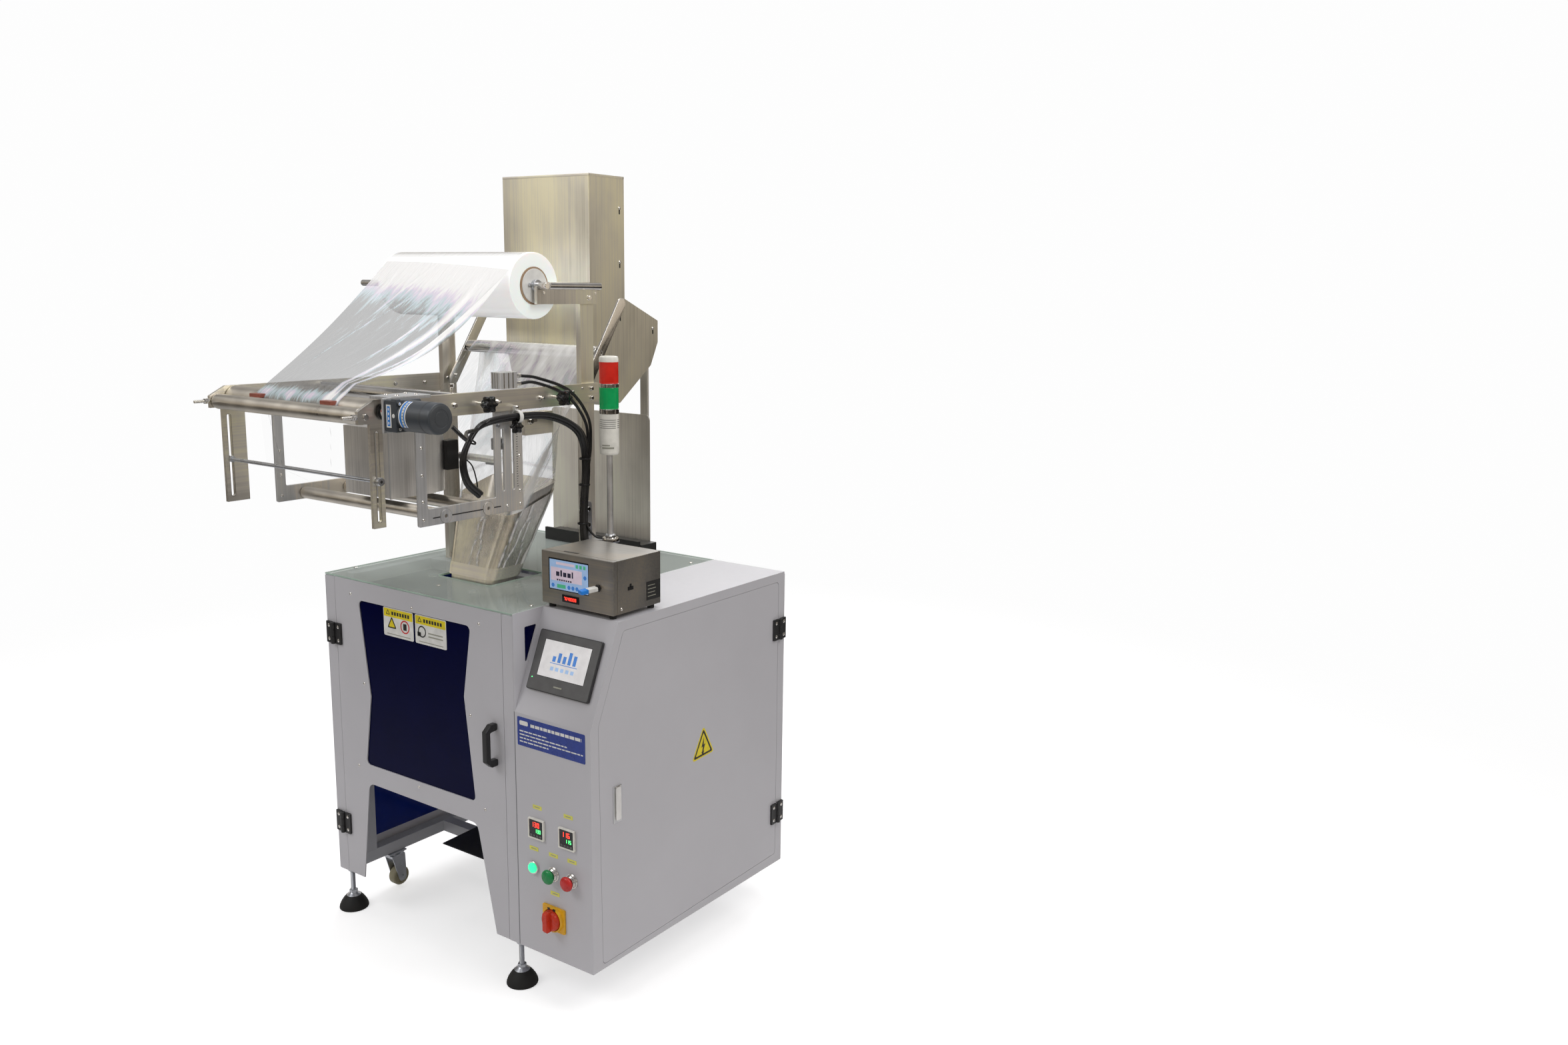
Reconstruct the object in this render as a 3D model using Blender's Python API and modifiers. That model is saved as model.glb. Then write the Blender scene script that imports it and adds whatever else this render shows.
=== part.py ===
"""Vertical form fill sealer: cabinet, film rack, former, jaws and infeed hood as separate parts.

Machine coordinates run from the cabinet's front left floor corner: X to the right, Y to the rear, Z up.
The empty machine_origin shifts them so that the whole machine stands centred on the world origin.
"""

import math

import bmesh
import bpy
from mathutils import Matrix, Vector

GAP = 0.0003

# Cabinet
CAB_W = 0.883
CAB_D = 0.7135
CAB_TOP = 0.889
CAB_BOTTOM = 0.112
SPLIT_X = 0.656
SHEET = 0.002
SLOPE_Z = 0.668
SLOPE_Y = 0.092
SCREEN_SIZE = (0.184, 0.134)
SCREEN_UP = 0.004
MACHINE_FRONT = -0.3595
MACHINE_LEFT = -0.025
MACHINE_RIGHT = 0.8939
CENTRE_X = (MACHINE_LEFT + MACHINE_RIGHT) / 2
CENTRE_Y = (MACHINE_FRONT + CAB_D) / 2

# Doors
DOOR_X = (0.0372, 0.6218)
DOOR_Z = (0.1125, 0.8845)
DOOR_T = 0.003
HINGE_T = 0.005
HINGE_H = 0.054
FRONT_AXIS = (0.030, -0.0062)
SIDE_AXIS = (CAB_W + 0.0062, 0.690)
FRONT_HINGE_Z = (0.245, 0.741)
SIDE_HINGE_Z = (0.252, 0.745)

# Undercarriage
TUBE = 0.030
BUTTON_X = (0.768, 0.824)
BUTTON_Z = 0.316
FRAME_Z = 0.108
FOOT_PLACES = {"front_left": (0.0185, 0.023), "front_right": (0.636, 0.023),
               "rear_left": (0.0185, 0.677), "rear_right": (0.636, 0.677)}
CASTER_PLACES = {"left": (0.0185, 0.150), "right": (0.636, 0.150)}
WHEEL_R = 0.025
WHEEL_Z = 0.031
CASTER_TRAIL = 0.016

# Film rack
PLATE_T = 0.008
LEFT_X = 0.087
RIGHT_X = 0.587
INNER_L = LEFT_X + PLATE_T
INNER_R = RIGHT_X
PLATE_Z = (1.322, 1.368)
PLATE_Y = (-0.326, 0.347)
POST_Y = (0.298, 0.340)
POST_T = 0.0145
POST_TOP = 1.5497
ARM_T = 0.005
ARM_LOW = (0.328, 1.352)
ARM_HIGH = (0.456, 1.550)
ARM_R = 0.0135

# Rollers, all along X: (y, z, radius)
ROLL = (0.170, 1.590, 0.073)
ROLL_X = (0.128, 0.570)
DRIVE = (-0.268, 1.344, 0.0235)
NIP = (-0.3085, 1.336, 0.0165)
DANCER = (-0.285, 1.2075, 0.004)
IDLER_F = (-0.112, 1.1135, 0.014)
IDLER_R = (0.005, 1.1135, 0.014)
TOP_ROLLER = (0.382, 1.435, 0.015)
JOURNAL_R = 0.004
RUN = 0.0005

# Film
FILM_T = 0.0004
FILM_X = (0.135, 0.563)
WEB_END = (0.372, 1.128)

# Former
TUBE_X = 0.330
TUBE_Y = 0.215
TUBE_HALF = (0.0825, 0.0525)
LEAN_FRONT = 0.33
LEAN_REAR = 0.47
FLARE = 0.144
COLLAR_Z = (0.8955, 1.120)
INNER_Z = (0.520, 1.160)

# Sealing station
JAW_Z = 0.420
JAW_GAP = 0.045
ROD_X = (0.110, 0.550)
ROD_R = 0.010
PULL_R = 0.032
PULL_Z = 0.625

STEEL = ((0.62, 0.60, 0.56, 1), 0.32, 1.0)
POLISHED = ((0.80, 0.78, 0.74, 1), 0.12, 1.0)
ALUMINIUM = ((0.70, 0.71, 0.73, 1), 0.35, 1.0)
PAINT = ((0.62, 0.62, 0.65, 1), 0.55, 0.0)
BLACK = ((0.02, 0.02, 0.022, 1), 0.45, 0.0)
NAVY = ((0.01, 0.02, 0.10, 1), 0.15, 0.0)
CLEAR = ((0.75, 0.85, 0.82, 1), 0.08, 0.0)
FILM = ((0.90, 0.91, 0.93, 1), 0.15, 0.0)
RUBBER = ((0.03, 0.03, 0.03, 1), 0.8, 0.0)
CREAM = ((0.42, 0.38, 0.26, 1), 0.5, 0.0)
MOTOR_GREY = ((0.06, 0.07, 0.09, 1), 0.4, 0.0)
RED = ((0.60, 0.03, 0.02, 1), 0.35, 0.0)
GREEN = ((0.02, 0.30, 0.08, 1), 0.35, 0.0)
DARK = ((0.05, 0.05, 0.055, 1), 0.4, 0.0)

AXES = {
    "X": Matrix(((0, 0, 1, 0), (1, 0, 0, 0), (0, 1, 0, 0), (0, 0, 0, 1))),
    "Y": Matrix(((1, 0, 0, 0), (0, 0, -1, 0), (0, 1, 0, 0), (0, 0, 0, 1))),
    "Z": Matrix.Identity(4),
}


def clear_scene():
    for old in list(bpy.data.objects):
        bpy.data.objects.remove(old, do_unlink=True)


def new_collection(name):
    collection = bpy.data.collections.new(name)
    bpy.context.scene.collection.children.link(collection)
    return collection


def look_of(name, look):
    colour, roughness, metallic = look
    material = bpy.data.materials.new(name + "_material")
    material.use_nodes = True
    shader = material.node_tree.nodes["Principled BSDF"]
    shader.inputs["Base Color"].default_value = colour
    shader.inputs["Roughness"].default_value = roughness
    shader.inputs["Metallic"].default_value = metallic
    material.diffuse_color = colour
    return material


def place(name, mesh, look, pivot=(0, 0, 0)):
    """Puts a mesh given in machine coordinates into the scene, with its origin at pivot.

    A look of None makes a helper for a Boolean, which is not part of the machine."""
    mesh.transform(Matrix.Translation(-Vector(pivot)))
    obj = bpy.data.objects.new(name, mesh)
    obj.location = pivot
    obj.parent = ORIGIN
    if look is None:
        HELPERS.objects.link(obj)
        obj.hide_render = True
        obj.display_type = "WIRE"
        return obj
    MACHINE.objects.link(obj)
    mesh.materials.append(look_of(name, look))
    mesh.shade_smooth()
    mesh.set_sharp_from_angle(angle=math.radians(35))
    return obj


def mesh_from(bm, name):
    mesh = bpy.data.meshes.new(name)
    bm.to_mesh(mesh)
    bm.free()
    return mesh


def box(name, x, y, z, look=None, pivot=(0, 0, 0)):
    """A block between the pairs x, y and z."""
    bm = bmesh.new()
    bmesh.ops.create_cube(bm, size=1)
    size = (x[1] - x[0], y[1] - y[0], z[1] - z[0])
    middle = (sum(x) / 2, sum(y) / 2, sum(z) / 2)
    bmesh.ops.transform(bm, matrix=Matrix.Translation(middle) @ Matrix.Diagonal((*size, 1)), verts=bm.verts)
    return place(name, mesh_from(bm, name), look, pivot)


def rod(name, start, end, radius, look=None, pivot=(0, 0, 0), sides=20):
    """A round bar from start to end."""
    start = Vector(start)
    along = Vector(end) - start
    bm = bmesh.new()
    bmesh.ops.create_cone(bm, cap_ends=True, segments=sides, radius1=radius, radius2=radius,
                          depth=along.length)
    turn = Vector((0, 0, 1)).rotation_difference(along).to_matrix().to_4x4()
    bmesh.ops.transform(bm, matrix=Matrix.Translation(start + along / 2) @ turn, verts=bm.verts)
    return place(name, mesh_from(bm, name), look, pivot)


def along_x(name, x, centre, radius, look=None, pivot=(0, 0, 0), sides=20):
    return rod(name, (x[0], centre[0], centre[1]), (x[1], centre[0], centre[1]), radius, look, pivot, sides)


def solid_mesh(curve_object, name):
    """The evaluated curve as a mesh with welded caps, in place of the curve."""
    bpy.context.view_layer.update()
    graph = bpy.context.evaluated_depsgraph_get()
    mesh = bpy.data.meshes.new_from_object(curve_object.evaluated_get(graph))
    mesh.transform(curve_object.matrix_world)
    bpy.data.objects.remove(curve_object)
    bm = bmesh.new()
    bm.from_mesh(mesh)
    bmesh.ops.remove_doubles(bm, verts=bm.verts, dist=1e-6)
    bmesh.ops.dissolve_degenerate(bm, dist=1e-7, edges=bm.edges)
    bpy.data.meshes.remove(mesh)
    return mesh_from(bm, name)


def plate(name, normal, across, loops, look=None, pivot=(0, 0, 0)):
    """A flat plate between the pair across on the normal axis, cut to the first loop, with the rest as holes.

    Loop points are (y, z) for normal X, (x, z) for normal Y and (x, y) for normal Z."""
    curve = bpy.data.curves.new(name, "CURVE")
    curve.dimensions = "2D"
    curve.fill_mode = "BOTH"
    curve.extrude = (across[1] - across[0]) / 2
    for loop in loops:
        spline = curve.splines.new("POLY")
        spline.points.add(len(loop) - 1)
        for point, (u, v) in zip(spline.points, loop):
            point.co = (u, v, 0, 1)
        spline.use_cyclic_u = True
    obj = bpy.data.objects.new(name, curve)
    bpy.context.scene.collection.objects.link(obj)
    middle = {"X": (1, 0, 0), "Y": (0, 1, 0), "Z": (0, 0, 1)}[normal]
    obj.matrix_world = Matrix.Translation(Vector(middle) * sum(across) / 2) @ AXES[normal]
    return place(name, solid_mesh(obj, name), look, pivot)


def tube(name, points, radius, look=None):
    """A round cable through points, read from a smooth curve."""
    curve = bpy.data.curves.new(name, "CURVE")
    curve.dimensions = "3D"
    curve.bevel_depth = radius
    curve.bevel_resolution = 2
    curve.use_fill_caps = True
    spline = curve.splines.new("POLY")
    smooth = smooth_route(points, radius * 5)
    spline.points.add(len(smooth) - 1)
    for point, place_at in zip(spline.points, smooth):
        point.co = (*place_at, 1)
    obj = bpy.data.objects.new(name, curve)
    bpy.context.scene.collection.objects.link(obj)
    return place(name, solid_mesh(obj, name), look)


def smooth_route(points, step):
    """Points about one step apart on a Catmull-Rom curve through the given ones."""
    points = [Vector(p) for p in points]
    points = [2 * points[0] - points[1], *points, 2 * points[-1] - points[-2]]
    route = [points[1]]
    for a, b, c, d in zip(points, points[1:], points[2:], points[3:]):
        count = max(1, round((c - b).length / step))
        for i in range(1, count + 1):
            t = i / count
            route.append(0.5 * (2 * b + (c - a) * t + (2 * a - 5 * b + 4 * c - d) * t**2
                                + (3 * b - a - 3 * c + d) * t**3))
    return route


def turned(name, profile, foot, look=None, pivot=(0, 0, 0), axis="Z", steps=16):
    """A shape turned about a line along axis through foot; profile is (radius, height), top to bottom."""
    bm = bmesh.new()
    points = [bm.verts.new((radius, 0, height)) for radius, height in profile]
    for first, second in zip(points, points[1:]):
        bm.edges.new((first, second))
    bmesh.ops.spin(bm, geom=bm.verts[:] + bm.edges[:], cent=(0, 0, 0), axis=(0, 0, 1), dvec=(0, 0, 0),
                   angle=2 * math.pi, steps=steps, use_duplicate=False)
    bmesh.ops.remove_doubles(bm, verts=bm.verts, dist=1e-6)
    bmesh.ops.recalc_face_normals(bm, faces=bm.faces)
    bmesh.ops.transform(bm, matrix=Matrix.Translation(foot) @ AXES[axis], verts=bm.verts)
    return place(name, mesh_from(bm, name), look, pivot)


def boolean(target, operation, others):
    for index, other in enumerate(others):
        modifier = target.modifiers.new(f"{operation.lower()}_{index}", "BOOLEAN")
        modifier.operation = operation
        modifier.use_self = operation == "UNION"
        modifier.object = other
    return target


def cut(target, *others):
    return boolean(target, "DIFFERENCE", others)


def fuse(target, *others):
    return boolean(target, "UNION", others)


def rectangle(u, v):
    return [(u[0], v[0]), (u[1], v[0]), (u[1], v[1]), (u[0], v[1])]


def circle(centre, radius, sides=24):
    turns = [2 * math.pi * i / sides for i in range(sides)]
    return [(centre[0] + radius * math.cos(a), centre[1] + radius * math.sin(a)) for a in turns]


def slot(start, end, radius, sides=6):
    """A long hole with round ends about start and end."""
    heading = math.atan2(end[1] - start[1], end[0] - start[0])
    loop = []
    for centre, first in ((end, heading - math.pi / 2), (start, heading + math.pi / 2)):
        for i in range(sides + 1):
            a = first + math.pi * i / sides
            loop.append((centre[0] + radius * math.cos(a), centre[1] + radius * math.sin(a)))
    return loop


def rounded(points, radius, steps=4):
    """The outline with each corner replaced by an arc of the given radius."""
    loop = []
    for before, corner, after in zip(points[-1:] + points[:-1], points, points[1:] + points[:1]):
        corner = Vector(corner)
        back = (Vector(before) - corner).normalized()
        ahead = (Vector(after) - corner).normalized()
        half = back.angle(ahead) / 2
        reach = radius / math.tan(half)
        centre = corner + (back + ahead).normalized() * radius / math.sin(half)
        first = corner + back * reach - centre
        sweep = first.angle_signed(corner + ahead * reach - centre)
        for i in range(steps + 1):
            a = -sweep * i / steps
            loop.append((centre[0] + first[0] * math.cos(a) - first[1] * math.sin(a),
                         centre[1] + first[0] * math.sin(a) + first[1] * math.cos(a)))
    return loop


# Cabinet ------------------------------------------------------------------------------------------

def base_frame():
    """Welded bar: floor, jaw and top rails, uprights, the jaw guide rods and the pull rollers' plate."""
    top = CAB_TOP - 0.010
    frame = box("base_frame", (0.0035, 0.0035 + TUBE), (0.008, 0.709), (FRAME_Z, FRAME_Z + TUBE), STEEL)
    right = (0.621, 0.651)
    low = (FRAME_Z, FRAME_Z + TUBE)
    pieces = [
        box("rail_right", right, (0.008, 0.709), low),
        box("rail_cross", (0.020, 0.640), (0.310, 0.340), (FRAME_Z - 0.0001, FRAME_Z + 0.0295)),
        box("rail_rear", (0.010, 0.645), (0.680, 0.7085), (FRAME_Z - 0.0002, FRAME_Z + 0.029)),
    ]
    for index, (x, y) in enumerate((((0.004, 0.033), (0.060, 0.090)), ((0.6215, 0.6505), (0.060, 0.090)),
                                    ((0.004, 0.033), (0.650, 0.680)), ((0.6215, 0.6505), (0.650, 0.680)))):
        pieces.append(box(f"upright_{index}", x, y, (FRAME_Z + 0.010, top)))
    for index, x in enumerate(ROD_X):
        side = (0.004, x + 0.015) if index == 0 else (x - 0.015, 0.6505)
        for end, y in enumerate(((0.064, 0.084), (0.4, 0.42))):
            pieces.append(box(f"rod_bracket_{index}{end}", side, y, (JAW_Z - 0.025, JAW_Z + 0.025)))
        pieces.append(rod(f"guide_rod_{index}", (x, 0.070, JAW_Z), (x, 0.415, JAW_Z), ROD_R))
        rail = (0.0045, 0.0325) if index == 0 else (0.622, 0.650)
        pieces.append(box(f"jaw_rail_{index}", rail, (0.070, 0.670), (JAW_Z - 0.02, JAW_Z + 0.02)))
        pieces.append(box(f"top_rail_{index}", rail, (0.070, 0.670), (top - TUBE, top - 0.001)))
    pieces.append(box("top_cross", (0.010, 0.645), (0.302, 0.330), (top - TUBE + 0.001, top - 0.002)))
    pieces.append(box("pull_plate", (0.205, 0.455), (0.3003, 0.3060), (PULL_Z - 0.020, top - 0.005)))
    return fuse(frame, *pieces)


def cabinet_shell():
    """The folded sheet that closes the left side and the whole rear."""
    outline = [(0, GAP), (SHEET, GAP), (SHEET, CAB_D - SHEET), (CAB_W, CAB_D - SHEET), (CAB_W, CAB_D),
               (0, CAB_D)]
    return plate("cabinet_shell", "Z", (CAB_BOTTOM, CAB_TOP - 0.0055), [outline], PAINT)


def front_frame():
    """The door surround: two stiles, open below for the bags, with a stop rail across the top."""
    x = (SHEET + GAP, SPLIT_X - GAP)
    stop = plate("front_frame", "Y", (0.0045, 0.0070), [[
        (x[0], CAB_BOTTOM), (0.060, CAB_BOTTOM), (0.060, 0.868), (0.600, 0.868), (0.600, CAB_BOTTOM),
        (x[1], CAB_BOTTOM), (x[1], 0.883), (x[0], 0.883)]], PAINT)
    left = box("stile_left", (x[0], DOOR_X[0] - 0.0007), (0, 0.006), (CAB_BOTTOM, 0.883))
    right = box("stile_right", (DOOR_X[1] + 0.0007, x[1]), (0, 0.006), (CAB_BOTTOM, 0.883))
    return fuse(stop, left, right)


def control_housing():
    """The electrical housing with a sloping top front, open where the side door closes it.

    Its inner wall runs on to the front edge, past the slope, and has a three-cornered window there."""
    x = (SPLIT_X, CAB_W)
    rear = CAB_D - SHEET - GAP
    outline = [(0, CAB_BOTTOM), (rear, CAB_BOTTOM), (rear, CAB_TOP), (SLOPE_Y, CAB_TOP), (0, SLOPE_Z)]
    t = SHEET
    inner = [(t, CAB_BOTTOM + t), (rear - t, CAB_BOTTOM + t), (rear - t, CAB_TOP - t),
             (SLOPE_Y + 0.0012, CAB_TOP - t), (t, SLOPE_Z - 0.0004)]
    window = rounded([(0.034, 0.762), (0.071, 0.853), (0.034, 0.853)], 0.003)
    wall = rectangle((0.0002, rear - 0.0002), (CAB_BOTTOM + 0.0002, CAB_TOP - 0.0002))
    shell = plate("control_housing", "X", x, [outline], PAINT)
    hollow = plate("control_hollow", "X", (x[0] + t, x[1] - t), [inner])
    doorway = plate("control_doorway", "X", (x[1] - 0.010, x[1] + 0.010), [side_door_outline(0.0008)])
    wall = plate("control_wall", "X", (x[0] + 0.0001, x[0] + t + 0.0001), [wall, window])
    switch_base = box("switch_base", (0.737, 0.801), (-0.0045, 0.001), (0.184, 0.238))
    return fuse(cut(shell, hollow, doorway), wall, switch_base, *button_guides())


def button_guides():
    """Rings round the buttons' stems."""
    return [cut(rod(f"button_guide_{x}", (x, 0.001, BUTTON_Z), (x, -0.0080, BUTTON_Z), 0.0145),
                rod(f"guide_bore_{x}", (x, -GAP, BUTTON_Z), (x, -0.020, BUTTON_Z), 0.0105)) for x in BUTTON_X]


def side_door_outline(grow):
    return rounded([(0.025 - grow, 0.672), (0.032 - grow, 0.123 - grow), (0.686 + grow, 0.138 - grow),
                    (0.686 + grow, 0.866 + grow), (0.107 - grow, 0.866 + grow)], 0.010)


def front_hinges():
    x, y = FRONT_AXIS
    for name, z in zip(("front_hinge_lower", "front_hinge_upper"), FRONT_HINGE_Z):
        span = (z - HINGE_H / 2, z + HINGE_H / 2)
        barrel = rod(name, (x, y, span[0]), (x, y, span[1]), 0.0058, BLACK, sides=16)
        leaf_y = (y + 0.0010, y + 0.0010 + HINGE_T - 0.0003)
        fuse(barrel, box(name + "_leaf", (x - 0.027, x - 0.001), leaf_y, span))


def side_hinges():
    x, y = SIDE_AXIS
    for name, z in zip(("side_hinge_lower", "side_hinge_upper"), SIDE_HINGE_Z):
        span = (z - HINGE_H / 2, z + HINGE_H / 2)
        barrel = rod(name, (x - 0.0005, y, span[0]), (x - 0.0005, y, span[1]), 0.0052, BLACK, sides=16)
        fuse(barrel, box(name + "_leaf", (CAB_W + GAP, CAB_W + HINGE_T), (y + 0.001, CAB_D - 0.0003), span))


def front_door():
    """The hourglass window and the bag outlet are cut from one plate; the hinge leaves are part of it."""
    pivot = (*FRONT_AXIS, sum(DOOR_Z) / 2)
    window = rounded([(0.129, 0.422), (0.522, 0.423), (0.493, 0.670), (0.521, 0.839), (0.126, 0.838),
                      (0.157, 0.602)], 0.012)
    outer = [(DOOR_X[0], DOOR_Z[0]), (0.100, DOOR_Z[0]), *outlet_arc(), (0.580, DOOR_Z[0]),
             (DOOR_X[1], DOOR_Z[0]), (DOOR_X[1], DOOR_Z[1]), (DOOR_X[0], DOOR_Z[1])]
    door = plate("front_door", "Y", (0, DOOR_T), [outer, window], PAINT, pivot)
    x, y = FRONT_AXIS
    leaves = [box(f"door_leaf_{z}", (x + 0.0076, x + 0.027), (y + 0.001, 0.0005),
                  (z - HINGE_H / 2, z + HINGE_H / 2)) for z in FRONT_HINGE_Z]
    return fuse(door, *leaves)


def outlet_arc():
    """The outlet's two round top corners, between its slanted sides."""
    corners = rounded([(0.100, 0.050), (0.135, 0.373), (0.525, 0.370), (0.590, 0.050)], 0.020)
    return corners[5:15]


def door_window():
    outline = rounded(rectangle((0.112, 0.536), (0.409, 0.852)), 0.010)
    return plate("door_window", "Y", (DOOR_T + GAP, DOOR_T + 0.0033), [outline], NAVY, (*FRONT_AXIS, 0.63))


def door_handle():
    """A bridge handle with two feet on the door."""
    z = (0.5290, 0.6290)
    pivot = (*FRONT_AXIS, 0.579)
    bar = box("door_handle", (0.5865, 0.6015), (-0.034, -0.024), z, BLACK, pivot)
    feet = [box(f"handle_foot_{i}", (0.5885, 0.5995), (-0.030, -GAP), (a, a + 0.016))
            for i, a in enumerate((z[0] + 0.001, z[1] - 0.017))]
    return fuse(bar, *feet)


def side_door():
    x, y = SIDE_AXIS
    pivot = (x, y, 0.5)
    door = plate("side_door", "X", (CAB_W - SHEET, CAB_W), [side_door_outline(0)], PAINT, pivot)
    leaves = [box(f"side_leaf_{z}", (CAB_W - 0.0005, CAB_W + HINGE_T), (y - 0.027, y - 0.0056),
                  (z - HINGE_H / 2, z + HINGE_H / 2)) for z in SIDE_HINGE_Z]
    return fuse(door, *leaves)


def door_latch():
    return box("door_latch", (CAB_W + GAP, CAB_W + 0.0055), (0.072, 0.091), (0.441, 0.524), STEEL,
               (CAB_W + 0.0055, 0.0815, 0.524))


def top_cover():
    """The clear lid over the sealing station, cut out round the former."""
    hole = rounded(rectangle((0.236, 0.424), (0.148, 0.330)), 0.012)
    cable = circle((0.640, 0.360), 0.010, 12)
    return plate("top_cover", "Z", (CAB_TOP - 0.004, CAB_TOP), [
        rectangle((GAP, SPLIT_X - GAP), (GAP, CAB_D - GAP)), hole, cable], CLEAR)


def discharge_tray():
    """The black tray on the right rail that turns the finished bag forwards, with a lip along its rear."""
    outline = [(0.125, 0.1975), (0.333, 0.2040), (0.333, 0.2290), (0.3305, 0.2290), (0.3305, 0.2065),
               (0.125, 0.2000)]
    tray = plate("discharge_tray", "X", (0.250, 0.6200), [outline], BLACK)
    ear = box("tray_ear", (0.617, 0.6207), (0.180, 0.300), (0.140, 0.2025))
    return fuse(tray, ear)


def hmi_panel():
    """The operator screen's bezel and body, flat on the slope and a little above its middle."""
    slope = math.atan2(SLOPE_Y, CAB_TOP - SLOPE_Z)
    bm = bmesh.new()
    bmesh.ops.create_cube(bm, size=1)
    bmesh.ops.scale(bm, vec=(SCREEN_SIZE[0], 0.008, SCREEN_SIZE[1]), verts=bm.verts)
    bmesh.ops.bevel(bm, geom=bm.edges[:], offset=0.002, segments=1, affect="EDGES")
    middle = Vector(((SPLIT_X + CAB_W) / 2, SLOPE_Y / 2, (CAB_TOP + SLOPE_Z) / 2))
    out = Vector((0, -math.cos(slope), math.sin(slope)))
    up = Vector((0, math.sin(slope), math.cos(slope)))
    turn = Matrix.Rotation(-slope, 4, "X")
    centre = middle + out * (0.004 + GAP) + up * SCREEN_UP
    bmesh.ops.transform(bm, matrix=Matrix.Translation(centre) @ turn, verts=bm.verts)
    return place("hmi_panel", mesh_from(bm, "hmi_panel"), DARK)


def buttons():
    """Two mushroom push buttons on stems that run in their guides."""
    profile = [(0, 0.026), (0.012, 0.0250), (0.0165, 0.0205), (0.0165, 0.0165), (0.0095, 0.0145),
               (0.0095, 0.008), (0, 0.008)]
    for name, x, look in (("start_button", BUTTON_X[0], GREEN), ("stop_button", BUTTON_X[1], RED)):
        turned(name, profile, (x, -GAP, BUTTON_Z), look, (x, -0.010, BUTTON_Z), "Y")


def switch_knob():
    """The main switch: a disc with a raised grip."""
    centre = (0.769, -GAP, 0.211)
    pivot = (0.769, -0.010, 0.211)
    profile = [(0, 0.022), (0.021, 0.020), (0.024, 0.0045), (0, 0.0045)]
    disc = turned("switch_knob", profile, centre, RED, pivot, "Y")
    return fuse(disc, box("knob_grip", (0.763, 0.775), (-0.034, -0.010), (0.189, 0.233)))


def undercarriage():
    foot = [(0, 0.1077), (0.0065, 0.1077), (0.0065, 0.046), (0.011, 0.045), (0.011, 0.036), (0.019, 0.033),
            (0.034, 0.012), (0.0365, 0.004), (0.0365, 0), (0, 0)]
    for where, (x, y) in FOOT_PLACES.items():
        turned("foot_" + where, foot, (x, y, 0), RUBBER)
    for side, (x, y) in CASTER_PLACES.items():
        caster(side, x, y)


def caster(side, x, y):
    """A swivel fork under the frame and its wheel, which trails behind the swivel line."""
    swivel = (x, y, 0.100)
    axle_y = y + CASTER_TRAIL
    plate_profile = [(0, 0.1077), (0.019, 0.1077), (0.019, 0.0975), (0.013, 0.094), (0, 0.094)]
    fork = turned("caster_fork_" + side, plate_profile, (x, y, 0), STEEL, swivel)
    bridge = box("fork_bridge_" + side, (x - 0.0172, x + 0.0172), (y - 0.016, axle_y + 0.010),
                 (0.0895, 0.096))
    cheeks = []
    for end in (-1, 1):
        span = sorted((x + end * 0.0145, x + end * 0.0170))
        cheeks.append(plate(f"fork_cheek_{side}{end}", "X", span, [[
            (y - 0.014, 0.0905), (axle_y - 0.012, WHEEL_Z - 0.006), (axle_y, WHEEL_Z - 0.013),
            (axle_y + 0.012, WHEEL_Z - 0.006), (axle_y + 0.0095, 0.0905)]]))
    axle = along_x("fork_axle_" + side, (x - 0.0155, x + 0.0155), (axle_y, WHEEL_Z), 0.004, sides=16)
    fuse(fork, bridge, *cheeks, axle)
    wheel = along_x("caster_wheel_" + side, (x - 0.0125, x + 0.0125), (axle_y, WHEEL_Z), WHEEL_R, CREAM,
                    (x, axle_y, WHEEL_Z), 28)
    cut(wheel, along_x("wheel_bore_" + side, (x - 0.02, x + 0.02), (axle_y, WHEEL_Z), 0.0046, sides=16))


# Cabinet top --------------------------------------------------------------------------------------

def coder_box():
    """The date coder's controller: a case open below, on four short feet."""
    body = box("coder_box", (0.658, 0.870), (0.090, 0.245), (0.900, 1.018), STEEL)
    body = cut(body, box("coder_hollow", (0.6600, 0.8680), (0.0920, 0.2430), (0.890, 1.016)))
    feet = [box(f"coder_foot_{x}{y}", (x, x + 0.015), (y, y + 0.015), (CAB_TOP + GAP, 0.902))
            for x in (0.6585, 0.8545) for y in (0.0905, 0.2295)]
    return fuse(body, *feet)


def tower_light():
    """Signal tower on a pole, with the angle that bolts it to the right post."""
    x, y = 0.671, 0.300
    profile = [(0, 1.436), (0.020, 1.435), (0.0225, 1.429), (0.0225, 1.213), (0.020, 1.2095), (0.009, 1.209),
               (0.009, 1.016), (0.020, 1.015), (0.020, 1.006), (0, 1.006)]
    lamp = turned("tower_light", profile, (x, y, 0), GREEN, steps=20)
    foot = box("lamp_shelf", (0.598, x + 0.018), (y - 0.016, y + 0.016), (1.003, 1.0065))
    upright = box("lamp_angle", (RIGHT_X + GAP, RIGHT_X + 0.0115), (y + 0.001, y + 0.029), (1.004, 1.090))
    return fuse(lamp, fuse(foot, upright))


def back_plate():
    """Stainless rear guard with the two uprights that carry the infeed hood."""
    guard = plate("back_plate", "Y", (0.705, 0.7075),
                  [rounded(rectangle((0.080, 0.443), (CAB_TOP + GAP, 1.254)), 0.015)], STEEL)
    legs = [box(f"hood_leg_{x}", (x, x + 0.025), (0.7065, 0.7125), (CAB_TOP + GAP, 1.500))
            for x in (0.205, 0.410)]
    return fuse(guard, *legs)


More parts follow.
